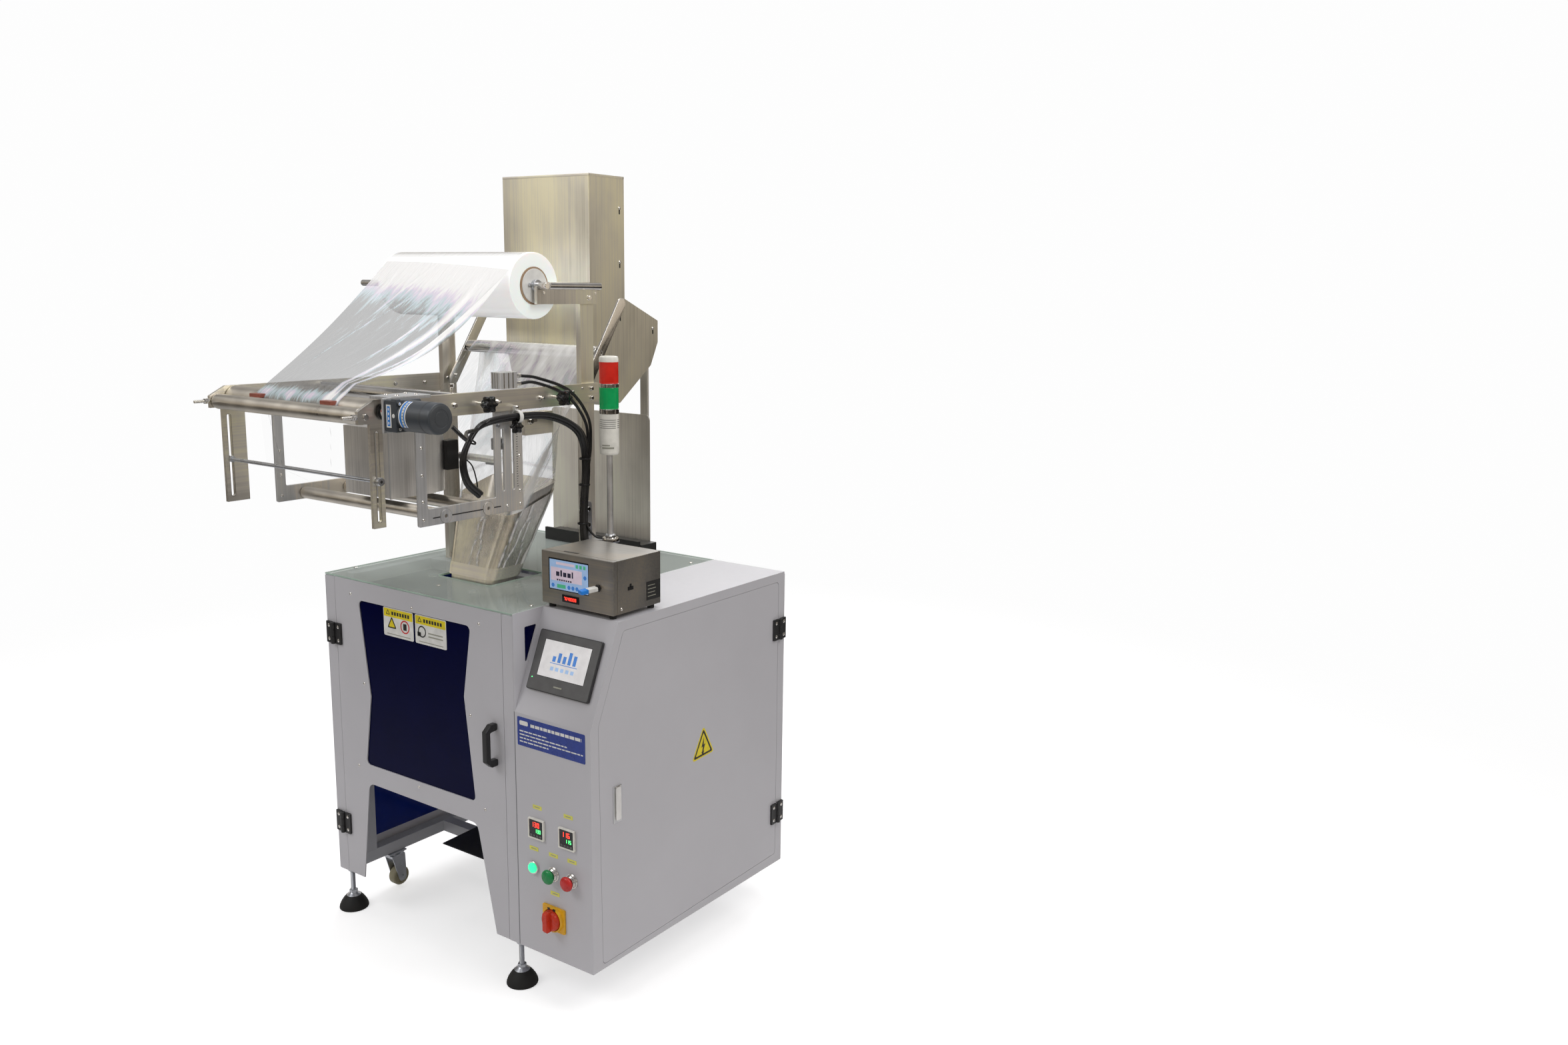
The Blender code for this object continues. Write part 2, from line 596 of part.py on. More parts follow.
def infeed_hood():
    """Folded sheet: a tall open-bottomed hood, and a chute below it that slopes down towards the former."""
    x = (0.190, 0.484)
    t = 0.0025
    outline = [(0.440, 1.437), (0.470, 1.300), (0.545, 1.300), (0.664, 1.390), (0.692, 1.449), (0.692, 1.504),
               (0.565, 1.560), (0.565, 1.856), (0.440, 1.856)]
    inner = [(0.440 + t, 1.4373), (0.4722, 1.290), (0.542, 1.290), (0.6625, 1.3927), (0.692 - t, 1.4493),
             (0.692 - t, 1.5023), (0.565 - t, 1.5582), (0.565 - t, 1.870), (0.440 + t, 1.870)]
    hood = plate("infeed_hood", "X", x, [outline], STEEL)
    tabs = [box(f"hood_tab_{a}", (a, a + 0.025), (0.690, 0.7062), (1.455, 1.500)) for a in (0.205, 0.410)]
    hollow = plate("hood_hollow", "X", (x[0] + t, x[1] - t), [inner])
    return fuse(cut(hood, hollow), *tabs)


# Former -------------------------------------------------------------------------------------------

def former_section(z, inset):
    """The former's rounded section at height z: upright below the lid, leaning back and widening above."""
    rise = max(0.0, z - CAB_TOP)
    front = TUBE_Y - TUBE_HALF[1] + LEAN_FRONT * rise + inset
    rear = TUBE_Y + TUBE_HALF[1] + LEAN_REAR * rise - inset
    half = TUBE_HALF[0] + FLARE * rise - inset
    return rounded(rectangle((TUBE_X - half, TUBE_X + half), (front, rear)), 0.030 - inset, 3)


def lofted(name, heights, inset, wall, look, top_slant=0.0):
    """An open sleeve through the former's sections, thickened inwards; the mouth rises towards the rear."""
    bm = bmesh.new()
    rings = []
    for z in heights:
        flat = former_section(z, inset)
        rise = top_slant if z == heights[-1] else 0.0
        levels = [z + rise * (v - flat[0][1]) for _, v in flat]
        rings.append([bm.verts.new((*former_section(level, inset)[i], level))
                      for i, level in enumerate(levels)])
    for lower, upper in zip(rings, rings[1:]):
        for i in range(len(lower)):
            j = (i + 1) % len(lower)
            bm.faces.new((lower[i], lower[j], upper[j], upper[i]))
    bmesh.ops.recalc_face_normals(bm, faces=bm.faces)
    obj = place(name, mesh_from(bm, name), look)
    thick = obj.modifiers.new("sheet", "SOLIDIFY")
    thick.thickness = wall
    thick.offset = -1
    return obj


def former():
    lofted("former_collar", (COLLAR_Z[0], 0.93, 1.00, COLLAR_Z[1] - 0.06), 0.0, 0.0012, POLISHED, 0.40)
    lofted("former_tube", (INNER_Z[0], 0.70, 0.880, 0.889, 0.93, 1.00, 1.09), 0.005, 0.0012, STEEL, 0.30)


# Film rack ----------------------------------------------------------------------------------------

def post(side, x, bracket_x):
    """A folded channel from the lid to the roll bracket, which is part of it."""
    upright = box("post_" + side, x, POST_Y, (CAB_TOP + GAP, POST_TOP + 0.002), STEEL)
    hollow_x = (x[0] + 0.002, x[1] + 0.010) if side == "left" else (x[0] - 0.010, x[1] - 0.002)
    hollow = box("post_hollow_" + side, hollow_x, (POST_Y[0] + 0.002, POST_Y[1] - 0.002),
                 (0.90, POST_TOP - 0.01))
    foot_x = (x[0], x[1] + 0.025) if side == "left" else (x[0] - 0.025, x[1])
    foot = box("post_foot_" + side, foot_x, (POST_Y[0] - 0.001, POST_Y[1] + 0.001),
               (CAB_TOP + GAP, CAB_TOP + 0.004))
    bracket = plate("bracket_" + side, "X", bracket_x,
                    [[(0.158, 1.550), (0.350, 1.550), (0.350, 1.582), (0.182, 1.582), (0.1785, 1.5895),
                      (0.1777, 1.5825), (0.170, 1.5818), (0.1623, 1.5825), (0.158, 1.5895)]])
    middle = sum(bracket_x) / 2
    bar = rod("bracket_bar_" + side, (middle, 0.197, 1.590), (middle, 0.363, 1.590), 0.0085)
    return fuse(cut(upright, hollow), foot, fuse(bracket, bar))


def posts():
    post("left", (INNER_L + GAP, INNER_L + POST_T), (INNER_L - 0.004, INNER_L + 0.004))
    post("right", (INNER_R - POST_T, INNER_R - GAP), (INNER_R - 0.004, INNER_R + 0.004))


def side_plate(side, x):
    """The long bearer with its slotted front leg, pointed nose and nip adjusting screw."""
    y, z = PLATE_Y, PLATE_Z
    leg = (-0.299, -0.270) if side == "right" else (-0.299, -0.246)
    outline = [(y[0], z[0]), (leg[0], z[0]), (leg[0], 1.114), (leg[1], 1.114), (leg[1], z[0]), (y[1], z[0]),
               (y[1], z[1]), (-0.288, z[1]), (y[0], 1.348)]
    holes = [slot((DANCER[0], 1.130), (DANCER[0], 1.302), 0.0046),
             circle(NIP[:2], JOURNAL_R + RUN, 16), circle(DRIVE[:2], 0.006 + RUN, 16)]
    bearer = plate("side_plate_" + side, "X", x, [outline, *holes], STEEL)
    middle = sum(x) / 2
    screw = rod("nip_screw_" + side, (middle, y[0] + 0.0065, 1.337), (middle, MACHINE_FRONT, 1.337), 0.0032,
                sides=12)
    pieces = [screw]
    if side == "left":
        pieces.append(along_x("cross_bar", (x[1] - 0.002, INNER_R - GAP), (-0.047, 1.350), 0.015))
    return fuse(bearer, *pieces)


def side_plates():
    side_plate("left", (LEFT_X, INNER_L))
    side_plate("right", (RIGHT_X, RIGHT_X + PLATE_T))


def l_frame(side, x):
    """The slotted angle plate that carries the idlers and the coder head."""
    outline = rounded([(-0.183, 1.335), (-0.183, 1.098), (0.109, 1.098), (0.109, 1.335), (0.028, 1.335),
                       (0.028, 1.134), (-0.159, 1.134), (-0.159, 1.335)], 0.004, 2)
    holes = [circle(IDLER_F[:2], JOURNAL_R + RUN, 16), circle(IDLER_R[:2], JOURNAL_R + RUN, 16),
             slot((0.050, 1.150), (0.050, 1.280), 0.004), slot((0.080, 1.150), (0.080, 1.280), 0.004)]
    return plate("l_frame_" + side, "X", x, [outline, *holes], ALUMINIUM)


def l_frames():
    l_frame("left", (INNER_L + GAP, INNER_L + 0.006))
    l_frame("right", (INNER_R - 0.006, INNER_R - GAP))


def roller_arm(side, x):
    """A slotted bar that holds the top roller's journal."""
    holes = [circle(TOP_ROLLER[:2], JOURNAL_R + RUN, 16)]
    return plate("roller_arm_" + side, "X", x, [slot(ARM_LOW, ARM_HIGH, ARM_R), *holes], STEEL)


def roller_arms():
    left = INNER_L + POST_T + GAP
    right = INNER_R - POST_T - GAP
    roller_arm("left", (left, left + ARM_T))
    roller_arm("right", (right - ARM_T, right))


def roller(name, body_x, journal_x, circle_of, look, journal_r=JOURNAL_R):
    pivot = (sum(body_x) / 2, circle_of[0], circle_of[1])
    drum = along_x(name, body_x, circle_of, circle_of[2], look, pivot)
    return fuse(drum, along_x(name + "_journal", journal_x, circle_of, journal_r, sides=16))


def rollers():
    gap = 0.002
    roller("nip_roller", (INNER_L + gap, INNER_R - gap), (LEFT_X, RIGHT_X + PLATE_T), NIP, POLISHED)
    drive = roller("drive_roller", (INNER_L + gap, INNER_R - gap), (LEFT_X, 0.6385), DRIVE, POLISHED, 0.006)
    fuse(drive, along_x("coupling", (0.600, 0.6375), DRIVE, 0.016))
    frame = (INNER_L + 0.006, INNER_R - 0.006)
    for name, where in (("idler_front", IDLER_F), ("idler_rear", IDLER_R)):
        roller(name, (frame[0] + gap, frame[1] - gap), (frame[0] - 0.005, frame[1] + 0.005), where, POLISHED)
    arms = (INNER_L + POST_T + GAP + ARM_T, INNER_R - POST_T - GAP - ARM_T)
    roller("top_roller", (arms[0] + gap, arms[1] - gap), (arms[0] - 0.004, arms[1] + 0.004), TOP_ROLLER,
           POLISHED)
    along_x("dancer_rod", (LEFT_X - 0.006, RIGHT_X + PLATE_T + 0.006), DANCER, DANCER[2], POLISHED,
            (TUBE_X, DANCER[0], DANCER[1]), 16)


def film_roll():
    """The wound film with end plugs on its shaft, which lies in the brackets' notches."""
    pivot = (TUBE_X, ROLL[0], ROLL[1])
    along_x("roll_shaft", (MACHINE_LEFT, 0.612), ROLL, 0.0075, STEEL, pivot, 20)
    wound = along_x("film_roll", ROLL_X, ROLL, ROLL[2], FILM, pivot, 36)
    cut(wound, along_x("core_bore", (0.0, 0.7), ROLL, 0.0075 + GAP, sides=20))


def knobs():
    """Star knobs on studs in the right bearer."""
    profile = [(0, 0.046), (0.014, 0.045), (0.0185, 0.040), (0.0185, 0.026), (0.008, 0.022), (0.0045, 0.020),
               (0.0045, GAP), (0, GAP)]
    x = RIGHT_X + PLATE_T
    for name, y in (("knob_front", -0.024), ("knob_rear", 0.198)):
        knob = turned(name, profile, (x, y, 1.344), BLACK, (x + 0.02, y, 1.344), "X", 16)
        bites = [along_x(f"{name}_bite_{i}", (x + 0.018, x + 0.06),
                         (y + 0.0225 * math.cos(a), 1.344 + 0.0225 * math.sin(a)), 0.0065, sides=12)
                 for i, a in enumerate(math.pi * (2 * k + 1) / 6 for k in range(6))]
        cut(knob, *bites)


def drive_motor():
    """Bracket, gearbox and motor of the film drive, on the right bearer."""
    y, z = -0.272, 1.3425
    motor = along_x("drive_motor", (0.676, 0.770), (y, z), 0.0305, MOTOR_GREY, sides=32)
    gearbox = box("gearbox", (0.6455, 0.680), (y - 0.031, y + 0.031), (z - 0.031, z + 0.031))
    web = box("motor_plate", (0.640, 0.646), (y - 0.033, y + 0.033), (z - 0.034, z + 0.033))
    shelf = box("motor_shelf", (RIGHT_X - 0.004, 0.6455), (y - 0.016, -0.190), (1.3705, 1.3765))
    pad = box("motor_pad", (RIGHT_X + 0.0005, RIGHT_X + PLATE_T - 0.0005), (-0.225, -0.195),
              (PLATE_Z[1] + GAP, 1.3715))
    return fuse(motor, gearbox, fuse(fuse(web, shelf), pad))


def coder_plan(inset):
    """The coder's plan, square at the front and rounded at the rear, drawn inset inside its outside."""
    x0, x1, y0, y1 = 0.307 + inset, 0.458 - inset, -0.150 + inset, 0.021 - inset
    bend = 0.045 - inset
    turn = [math.radians(a) for a in range(0, 91, 15)]
    right = [(x1 - bend + bend * math.cos(a), y1 - bend + bend * math.sin(a)) for a in turn]
    left = [(x0 + bend - bend * math.sin(a), y1 - bend + bend * math.cos(a)) for a in turn]
    return [(x0, y0), (x1, y0)] + right + left


def coder_head():
    """The thermal coder above the idlers, open below, carried by an arm on a bar between the slotted plates."""
    body = plate("coder_head", "Z", (1.140, 1.288), [coder_plan(0.0)], STEEL)
    hollow = plate("coder_head_hollow", "Z", (1.130, 1.285), [coder_plan(0.003)])
    body = cut(body, hollow)
    ends = (INNER_L + 0.006 + GAP, INNER_R - 0.006 - GAP)
    bar = along_x("coder_bar", ends, (0.040, 1.215), 0.008, sides=16)
    arm = box("coder_arm", (0.355, 0.410), (0.0185, 0.042), (1.205, 1.225))
    return fuse(body, fuse(arm, bar))


def belt_route(stations):
    """Centre line of a web over (y, z, radius, turn).

    Turn is 1 with the roller on the left of travel, -1 on the right, and 0 for a plain end point."""
    headings = []
    for (y0, z0, r0, s0), (y1, z1, r1, s1) in zip(stations, stations[1:]):
        apart = Vector((y1 - y0, z1 - z0))
        headings.append(math.atan2(apart[1], apart[0]) - math.asin((s1 * r1 - s0 * r0) / apart.length))
    route = []
    for i, (y, z, r, s) in enumerate(stations):
        first = headings[max(i - 1, 0)]
        last = headings[min(i, len(headings) - 1)]
        wrap = (last - first) * s % (2 * math.pi) if s else 0.0
        steps = max(1, round(wrap / 0.35)) if 0 < i < len(stations) - 1 else 0
        for k in range(steps + 1):
            a = first + s * wrap * k / max(steps, 1) if 0 < i < len(stations) - 1 else last
            route.append((y + s * r * math.sin(a), z - s * r * math.cos(a)))
    return route


def film_web():
    """The film from the roll through the nip, under the idlers and over the top roller to the former."""
    lift = GAP + FILM_T / 2 + 0.0001
    stations = [(*c[:2], c[2] + lift, s) for c, s in (
        (ROLL, 1), (DRIVE, 1), (NIP, -1), (DANCER, 1), (IDLER_F, 1), (IDLER_R, 1), (TOP_ROLLER, -1))]
    route = belt_route([*stations, (*WEB_END, 0, 0)])
    narrow = 0.080
    bm = bmesh.new()
    pairs = []
    for i, (y, z) in enumerate(route):
        inset = narrow if i == len(route) - 1 else 0.0
        pairs.append([bm.verts.new((x, y, z)) for x in (FILM_X[0] + inset, FILM_X[1] - inset)])
    for (a, b), (c, d) in zip(pairs, pairs[1:]):
        bm.faces.new((a, b, d, c))
    web = place("film_web", mesh_from(bm, "film_web"), FILM)
    thick = web.modifiers.new("film", "SOLIDIFY")
    thick.thickness = FILM_T
    thick.offset = 0


def cable_loom():
    """Motor, coder and air lines: gathered at the clamp and led down behind the right post."""
    x = 0.6085
    loom = [(x, -0.037, 1.150), (x, -0.072, 1.183), (x, -0.080, 1.236), (x, -0.048, 1.285),
            (x, -0.011, 1.303), (x, 0.071, 1.309), (x, 0.170, 1.303), (x, 0.247, 1.273), (x, 0.278, 1.233),
            (x, 0.284, 1.170), (x, 0.277, 1.104), (x + 0.002, 0.272, 1.055), (x + 0.010, 0.268, 0.995),
            (x + 0.020, 0.286, 0.945), (x + 0.029, 0.330, 0.915), (0.640, 0.360, 0.892)]
    lead = [(0.765, -0.241, 1.325), (0.770, -0.215, 1.300), (0.700, -0.150, 1.290),
            (0.640, -0.095, 1.292), (x + 0.004, -0.045, 1.287), (x, -0.011, 1.303)]
    air = [(0.600, 0.108, 1.392), (0.602, 0.157, 1.388), (0.604, 0.246, 1.355), (x, 0.296, 1.292),
           (x, 0.303, 1.229), (x, 0.294, 1.170), (x, 0.284, 1.110)]
    return fuse(tube("cable_loom", loom, 0.0085, BLACK), tube("motor_lead", lead, 0.0045),
                tube("air_line", air, 0.0045))


# Sealing station ----------------------------------------------------------------------------------

def jaw(name, y, look):
    """A heated sealing bar with two bores that run on the guide rods."""
    pivot = (TUBE_X, sum(y) / 2, JAW_Z)
    bar = box(name, (0.075, 0.585), y, (JAW_Z - 0.020, JAW_Z + 0.020), look, pivot)
    bores = [rod(f"{name}_bore_{x}", (x, y[0] - 0.01, JAW_Z), (x, y[1] + 0.01, JAW_Z), ROD_R + RUN)
             for x in ROD_X]
    return cut(bar, *bores)


def sealing_station():
    half = JAW_GAP + 0.0005
    jaw("jaw_front", (TUBE_Y - half - 0.040, TUBE_Y - half), STEEL)
    jaw("jaw_rear", (TUBE_Y + half, TUBE_Y + half + 0.040), STEEL)
    front = TUBE_Y - TUBE_HALF[1] + 0.005
    sealer_y = front - 0.012
    sealer = box("vertical_sealer", (TUBE_X - 0.010, TUBE_X + 0.010), (sealer_y - 0.035, sealer_y),
                 (0.600, 0.800), ALUMINIUM, (TUBE_X, sealer_y, 0.700))
    fuse(sealer, box("sealer_arm", (TUBE_X - 0.030, TUBE_X + 0.030), (sealer_y - 0.055, sealer_y - 0.034),
                     (0.690, 0.710)))
    reach = TUBE_HALF[0] - 0.005 + 0.0015 + PULL_R
    for side, x in (("left", TUBE_X - reach), ("right", TUBE_X + reach)):
        pull_roller(side, x)


def pull_roller(side, x):
    """A rubber-tyred wheel on a stub shaft that draws the film down the former."""
    pivot = (x, TUBE_Y, PULL_Z)
    ends = ((x, TUBE_Y - 0.012, PULL_Z), (x, TUBE_Y + 0.012, PULL_Z))
    wheel = rod("pull_roller_" + side, *ends, PULL_R, RUBBER, pivot, 32)
    shaft_ends = ((x, TUBE_Y - 0.020, PULL_Z), (x, 0.300, PULL_Z))
    fuse(wheel, rod("pull_shaft_" + side, *shaft_ends, 0.007, sides=16))


def build():
    base_frame()
    cabinet_shell()
    front_frame()
    control_housing()
    front_hinges()
    side_hinges()
    front_door()
    door_window()
    door_handle()
    side_door()
    door_latch()
    top_cover()
    discharge_tray()
    hmi_panel()
    buttons()
    switch_knob()
    undercarriage()
    coder_box()
    tower_light()
    back_plate()
    infeed_hood()
    former()
    posts()
    side_plates()
    l_frames()
    roller_arms()
    rollers()
    film_roll()
    knobs()
    drive_motor()
    coder_head()
    film_web()
    cable_loom()
    sealing_station()


clear_scene()
MACHINE = new_collection("vertical_form_fill_sealer")
HELPERS = new_collection("helpers")
HELPERS.hide_render = True
ORIGIN = bpy.data.objects.new("machine_origin", None)
ORIGIN.location = (-CENTRE_X, -CENTRE_Y, 0)
MACHINE.objects.link(ORIGIN)
bpy.context.view_layer.update()
build()
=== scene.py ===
"""Looks of the vertical form fill sealer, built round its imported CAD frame.

Shapes are given in machine coordinates, in metres: X to the right from the cabinet's left face, Y to the rear
from its front face, Z up from the floor. Kit.finish moves each piece into the frame's own coordinates.
"""

import math
import random

import bmesh
import bpy
from mathutils import Matrix, Vector, noise


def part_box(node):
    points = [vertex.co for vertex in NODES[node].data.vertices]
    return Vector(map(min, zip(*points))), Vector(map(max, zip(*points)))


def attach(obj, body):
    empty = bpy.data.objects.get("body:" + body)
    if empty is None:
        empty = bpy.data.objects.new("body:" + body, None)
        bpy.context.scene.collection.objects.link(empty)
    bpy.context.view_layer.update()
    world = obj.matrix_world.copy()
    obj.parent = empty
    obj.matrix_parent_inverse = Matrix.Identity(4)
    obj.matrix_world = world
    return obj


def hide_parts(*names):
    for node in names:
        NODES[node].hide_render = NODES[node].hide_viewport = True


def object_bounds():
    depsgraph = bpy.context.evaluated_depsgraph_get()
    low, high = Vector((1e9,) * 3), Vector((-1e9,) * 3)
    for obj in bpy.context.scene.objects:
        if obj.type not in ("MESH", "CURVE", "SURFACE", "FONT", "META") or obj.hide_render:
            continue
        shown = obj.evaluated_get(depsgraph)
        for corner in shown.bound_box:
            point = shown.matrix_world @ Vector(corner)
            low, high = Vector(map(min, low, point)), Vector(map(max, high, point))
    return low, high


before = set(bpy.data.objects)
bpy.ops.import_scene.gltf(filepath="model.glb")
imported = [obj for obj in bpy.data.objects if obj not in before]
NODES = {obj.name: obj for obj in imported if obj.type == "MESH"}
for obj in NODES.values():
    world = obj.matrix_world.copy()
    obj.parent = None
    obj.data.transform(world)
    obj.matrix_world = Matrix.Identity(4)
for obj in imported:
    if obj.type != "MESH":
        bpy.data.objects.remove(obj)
CAD_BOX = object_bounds()
SHELL_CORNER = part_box("cabinet_shell")[0]
ORIGIN = Vector((SHELL_CORNER.x, SHELL_CORNER.y - 0.0003, 0))
CHANCE = random.Random(7)


def local_box(node):
    """A CAD node's lowest and highest corner in machine coordinates."""
    low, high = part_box(node)
    return low - ORIGIN, high - ORIGIN


def local_centre(node):
    low, high = local_box(node)
    return (low + high) / 2


# Camera, floor and light --------------------------------------------------------------------------

CAMERA_PLACE = Vector((2.652, -1.858, 1.600))
CAMERA_RIGHT = Vector((0.8214, 0.5702, 0.0149))
CAMERA_UP = Vector((-0.1172, 0.1431, 0.9827))
LENS_MM = 29.08


def make_camera():
    data = bpy.data.cameras.new("camera")
    data.lens = LENS_MM
    camera = bpy.data.objects.new("camera", data)
    right = CAMERA_RIGHT.normalized()
    up = (CAMERA_UP - right * CAMERA_UP.dot(right)).normalized()
    camera.matrix_world = (Matrix.Translation(CAMERA_PLACE + ORIGIN)
                           @ Matrix((right, up, right.cross(up))).transposed().to_4x4())
    bpy.context.scene.collection.objects.link(camera)
    bpy.context.scene.camera = camera


def plane(name, segments, size, material):
    """A flat square of the stage, facing up."""
    bm = bmesh.new()
    bmesh.ops.create_grid(bm, x_segments=segments, y_segments=segments, size=size)
    mesh = bpy.data.meshes.new(name)
    bm.to_mesh(mesh)
    bm.free()
    mesh.materials.append(material)
    obj = bpy.data.objects.new(name, mesh)
    bpy.context.scene.collection.objects.link(obj)
    return obj


def make_floor():
    """A pale floor that fades to the background's white away from the machine."""
    graph = Graph("floor")
    distance = graph.node("ShaderNodeVectorMath", operation="LENGTH")
    graph.join(graph.coordinates(), distance.inputs[0])
    fade = graph.node("ShaderNodeMapRange", {"From Min": 1.3, "From Max": 4.0})
    graph.join(distance.outputs["Value"], fade.inputs["Value"])
    graph.colour(graph.ramp(graph.noise(6), [(0.3, (0.78, 0.78, 0.79)), (0.7, (0.82, 0.82, 0.83))]))
    graph.set(Roughness=0.9, Emission_Color=(1, 1, 1, 1), Emission_Strength=0.56)
    path = graph.node("ShaderNodeLightPath")
    dim = graph.node("ShaderNodeMath", operation="MULTIPLY")
    dim.inputs[1].default_value = 0.56
    graph.join(path.outputs["Is Camera Ray"], dim.inputs[0])
    graph.join(dim.outputs[0], graph.shader.inputs["Emission Strength"])
    glow = graph.node("ShaderNodeEmission", {"Color": (0.985, 0.985, 0.985, 1)})
    graph.join(path.outputs["Is Camera Ray"], glow.inputs["Strength"])
    mix = graph.node("ShaderNodeMixShader")
    graph.join(fade.outputs["Result"], mix.inputs[0])
    graph.join(graph.shader.outputs[0], mix.inputs[1])
    graph.join(glow.outputs[0], mix.inputs[2])
    graph.join(mix.outputs[0], graph.nodes["Material Output"].inputs["Surface"])
    floor = plane("floor", 8, 30, graph.material)
    floor.location.z = CAD_BOX[0].z - 0.0005


def make_world():
    """White to the camera; to the machine a workshop with bright lamps above, warm walls and a dim floor."""
    world = bpy.data.worlds.new("studio")
    bpy.context.scene.world = world
    world.use_nodes = True
    nodes, links = world.node_tree.nodes, world.node_tree.links
    room = nodes["Background"]
    direction = nodes.new("ShaderNodeTexCoord")
    split = nodes.new("ShaderNodeSeparateXYZ")
    links.new(direction.outputs["Generated"], split.inputs[0])
    height = nodes.new("ShaderNodeMapRange")
    height.inputs["From Min"].default_value = -1
    links.new(split.outputs["Z"], height.inputs["Value"])
    tones = nodes.new("ShaderNodeValToRGB")
    fill_ramp(tones, [(0.0, (0.24, 0.21, 0.18)), (0.34, (0.62, 0.54, 0.45)), (0.48, (1.45, 1.32, 1.12)),
                      (0.58, (0.80, 0.78, 0.72)), (0.76, (0.52, 0.53, 0.55)), (1.0, (0.70, 0.72, 0.76))])
    links.new(height.outputs["Result"], tones.inputs[0])
    clutter = nodes.new("ShaderNodeTexNoise")
    clutter.inputs["Scale"].default_value = 2.3
    clutter.inputs["Detail"].default_value = 2.0
    links.new(direction.outputs["Generated"], clutter.inputs["Vector"])
    patches = nodes.new("ShaderNodeValToRGB")
    fill_ramp(patches, [(0.34, (0.40, 0.37, 0.35)), (0.46, (0.90, 0.85, 0.80)), (0.54, (1.15, 1.10, 1.04)),
                        (0.64, (1.9, 1.85, 1.8))])
    links.new(clutter.outputs[0], patches.inputs[0])
    blend = nodes.new("ShaderNodeMix")
    blend.data_type = "RGBA"
    blend.blend_type = "MULTIPLY"
    blend.inputs[0].default_value = 1.0
    links.new(tones.outputs[0], blend.inputs[6])
    links.new(patches.outputs[0], blend.inputs[7])
    links.new(blend.outputs[2], room.inputs["Color"])
    room.inputs["Strength"].default_value = 0.52
    white = nodes.new("ShaderNodeBackground")
    white.inputs["Color"].default_value = (0.985, 0.985, 0.985, 1)
    path = nodes.new("ShaderNodeLightPath")
    mix = nodes.new("ShaderNodeMixShader")
    links.new(path.outputs["Is Camera Ray"], mix.inputs[0])
    links.new(room.outputs[0], mix.inputs[1])
    links.new(white.outputs[0], mix.inputs[2])
    links.new(mix.outputs[0], nodes["World Output"].inputs["Surface"])


def soft_light(name, place, target, size, watts, tint=(1, 1, 1)):
    data = bpy.data.lights.new(name, "AREA")
    data.shape = "RECTANGLE"
    data.size, data.size_y = size
    data.energy = watts
    data.color = tint
    light = bpy.data.objects.new(name, data)
    light.location = Vector(place) + ORIGIN
    light.rotation_euler = (Vector(target) - Vector(place)).to_track_quat("-Z", "Y").to_euler()
    bpy.context.scene.collection.objects.link(light)


def dark_card(name, place, target, size, tone):
    """A card out of the camera's sight that bright metal picks up as a darker band."""
    graph = Graph(name)
    graph.colour(graph.ramp(graph.noise(2), [(0, tone), (1, tuple(0.8 * c for c in tone))]))
    graph.set(Roughness=1.0)
    card = plane(name, 2, 0.5, graph.material)
    card.location = Vector(place) + ORIGIN
    card.rotation_euler = (Vector(target) - Vector(place)).to_track_quat("Z", "Y").to_euler()
    card.scale = (*size, 1)
    card.visible_camera = False
    card.visible_shadow = False
    card.visible_diffuse = False


def make_lights():
    middle = (0.35, 0.2, 0.9)
    soft_light("key_light", (-0.9, -2.6, 3.3), middle, (2.0, 1.2), 34)
    soft_light("top_light", (0.5, 0.4, 4.0), middle, (2.6, 2.0), 39)
    soft_light("side_light", (2.7, 0.3, 2.8), (0.88, 0.3, 0.9), (1.0, 1.4), 25, (1.0, 0.98, 0.96))
    soft_light("rear_light", (-1.2, 3.4, 2.6), middle, (1.6, 1.0), 24)
    dark_card("warm_card", (1.6, -3.4, 0.9), middle, (0.9, 1.9), (0.34, 0.28, 0.23))
    dark_card("side_card", (3.6, 2.1, 1.2), middle, (1.1, 1.8), (0.30, 0.27, 0.24))
    dark_card("left_card", (-2.8, -1.3, 1.0), middle, (1.2, 2.0), (0.42, 0.39, 0.36))


# Materials ----------------------------------------------------------------------------------------

def fill_ramp(node, stops):
    elements = node.color_ramp.elements
    while len(elements) < len(stops):
        elements.new(0.5)
    for element, (place, colour) in zip(elements, stops):
        element.position = place
        element.color = (*colour, 1)


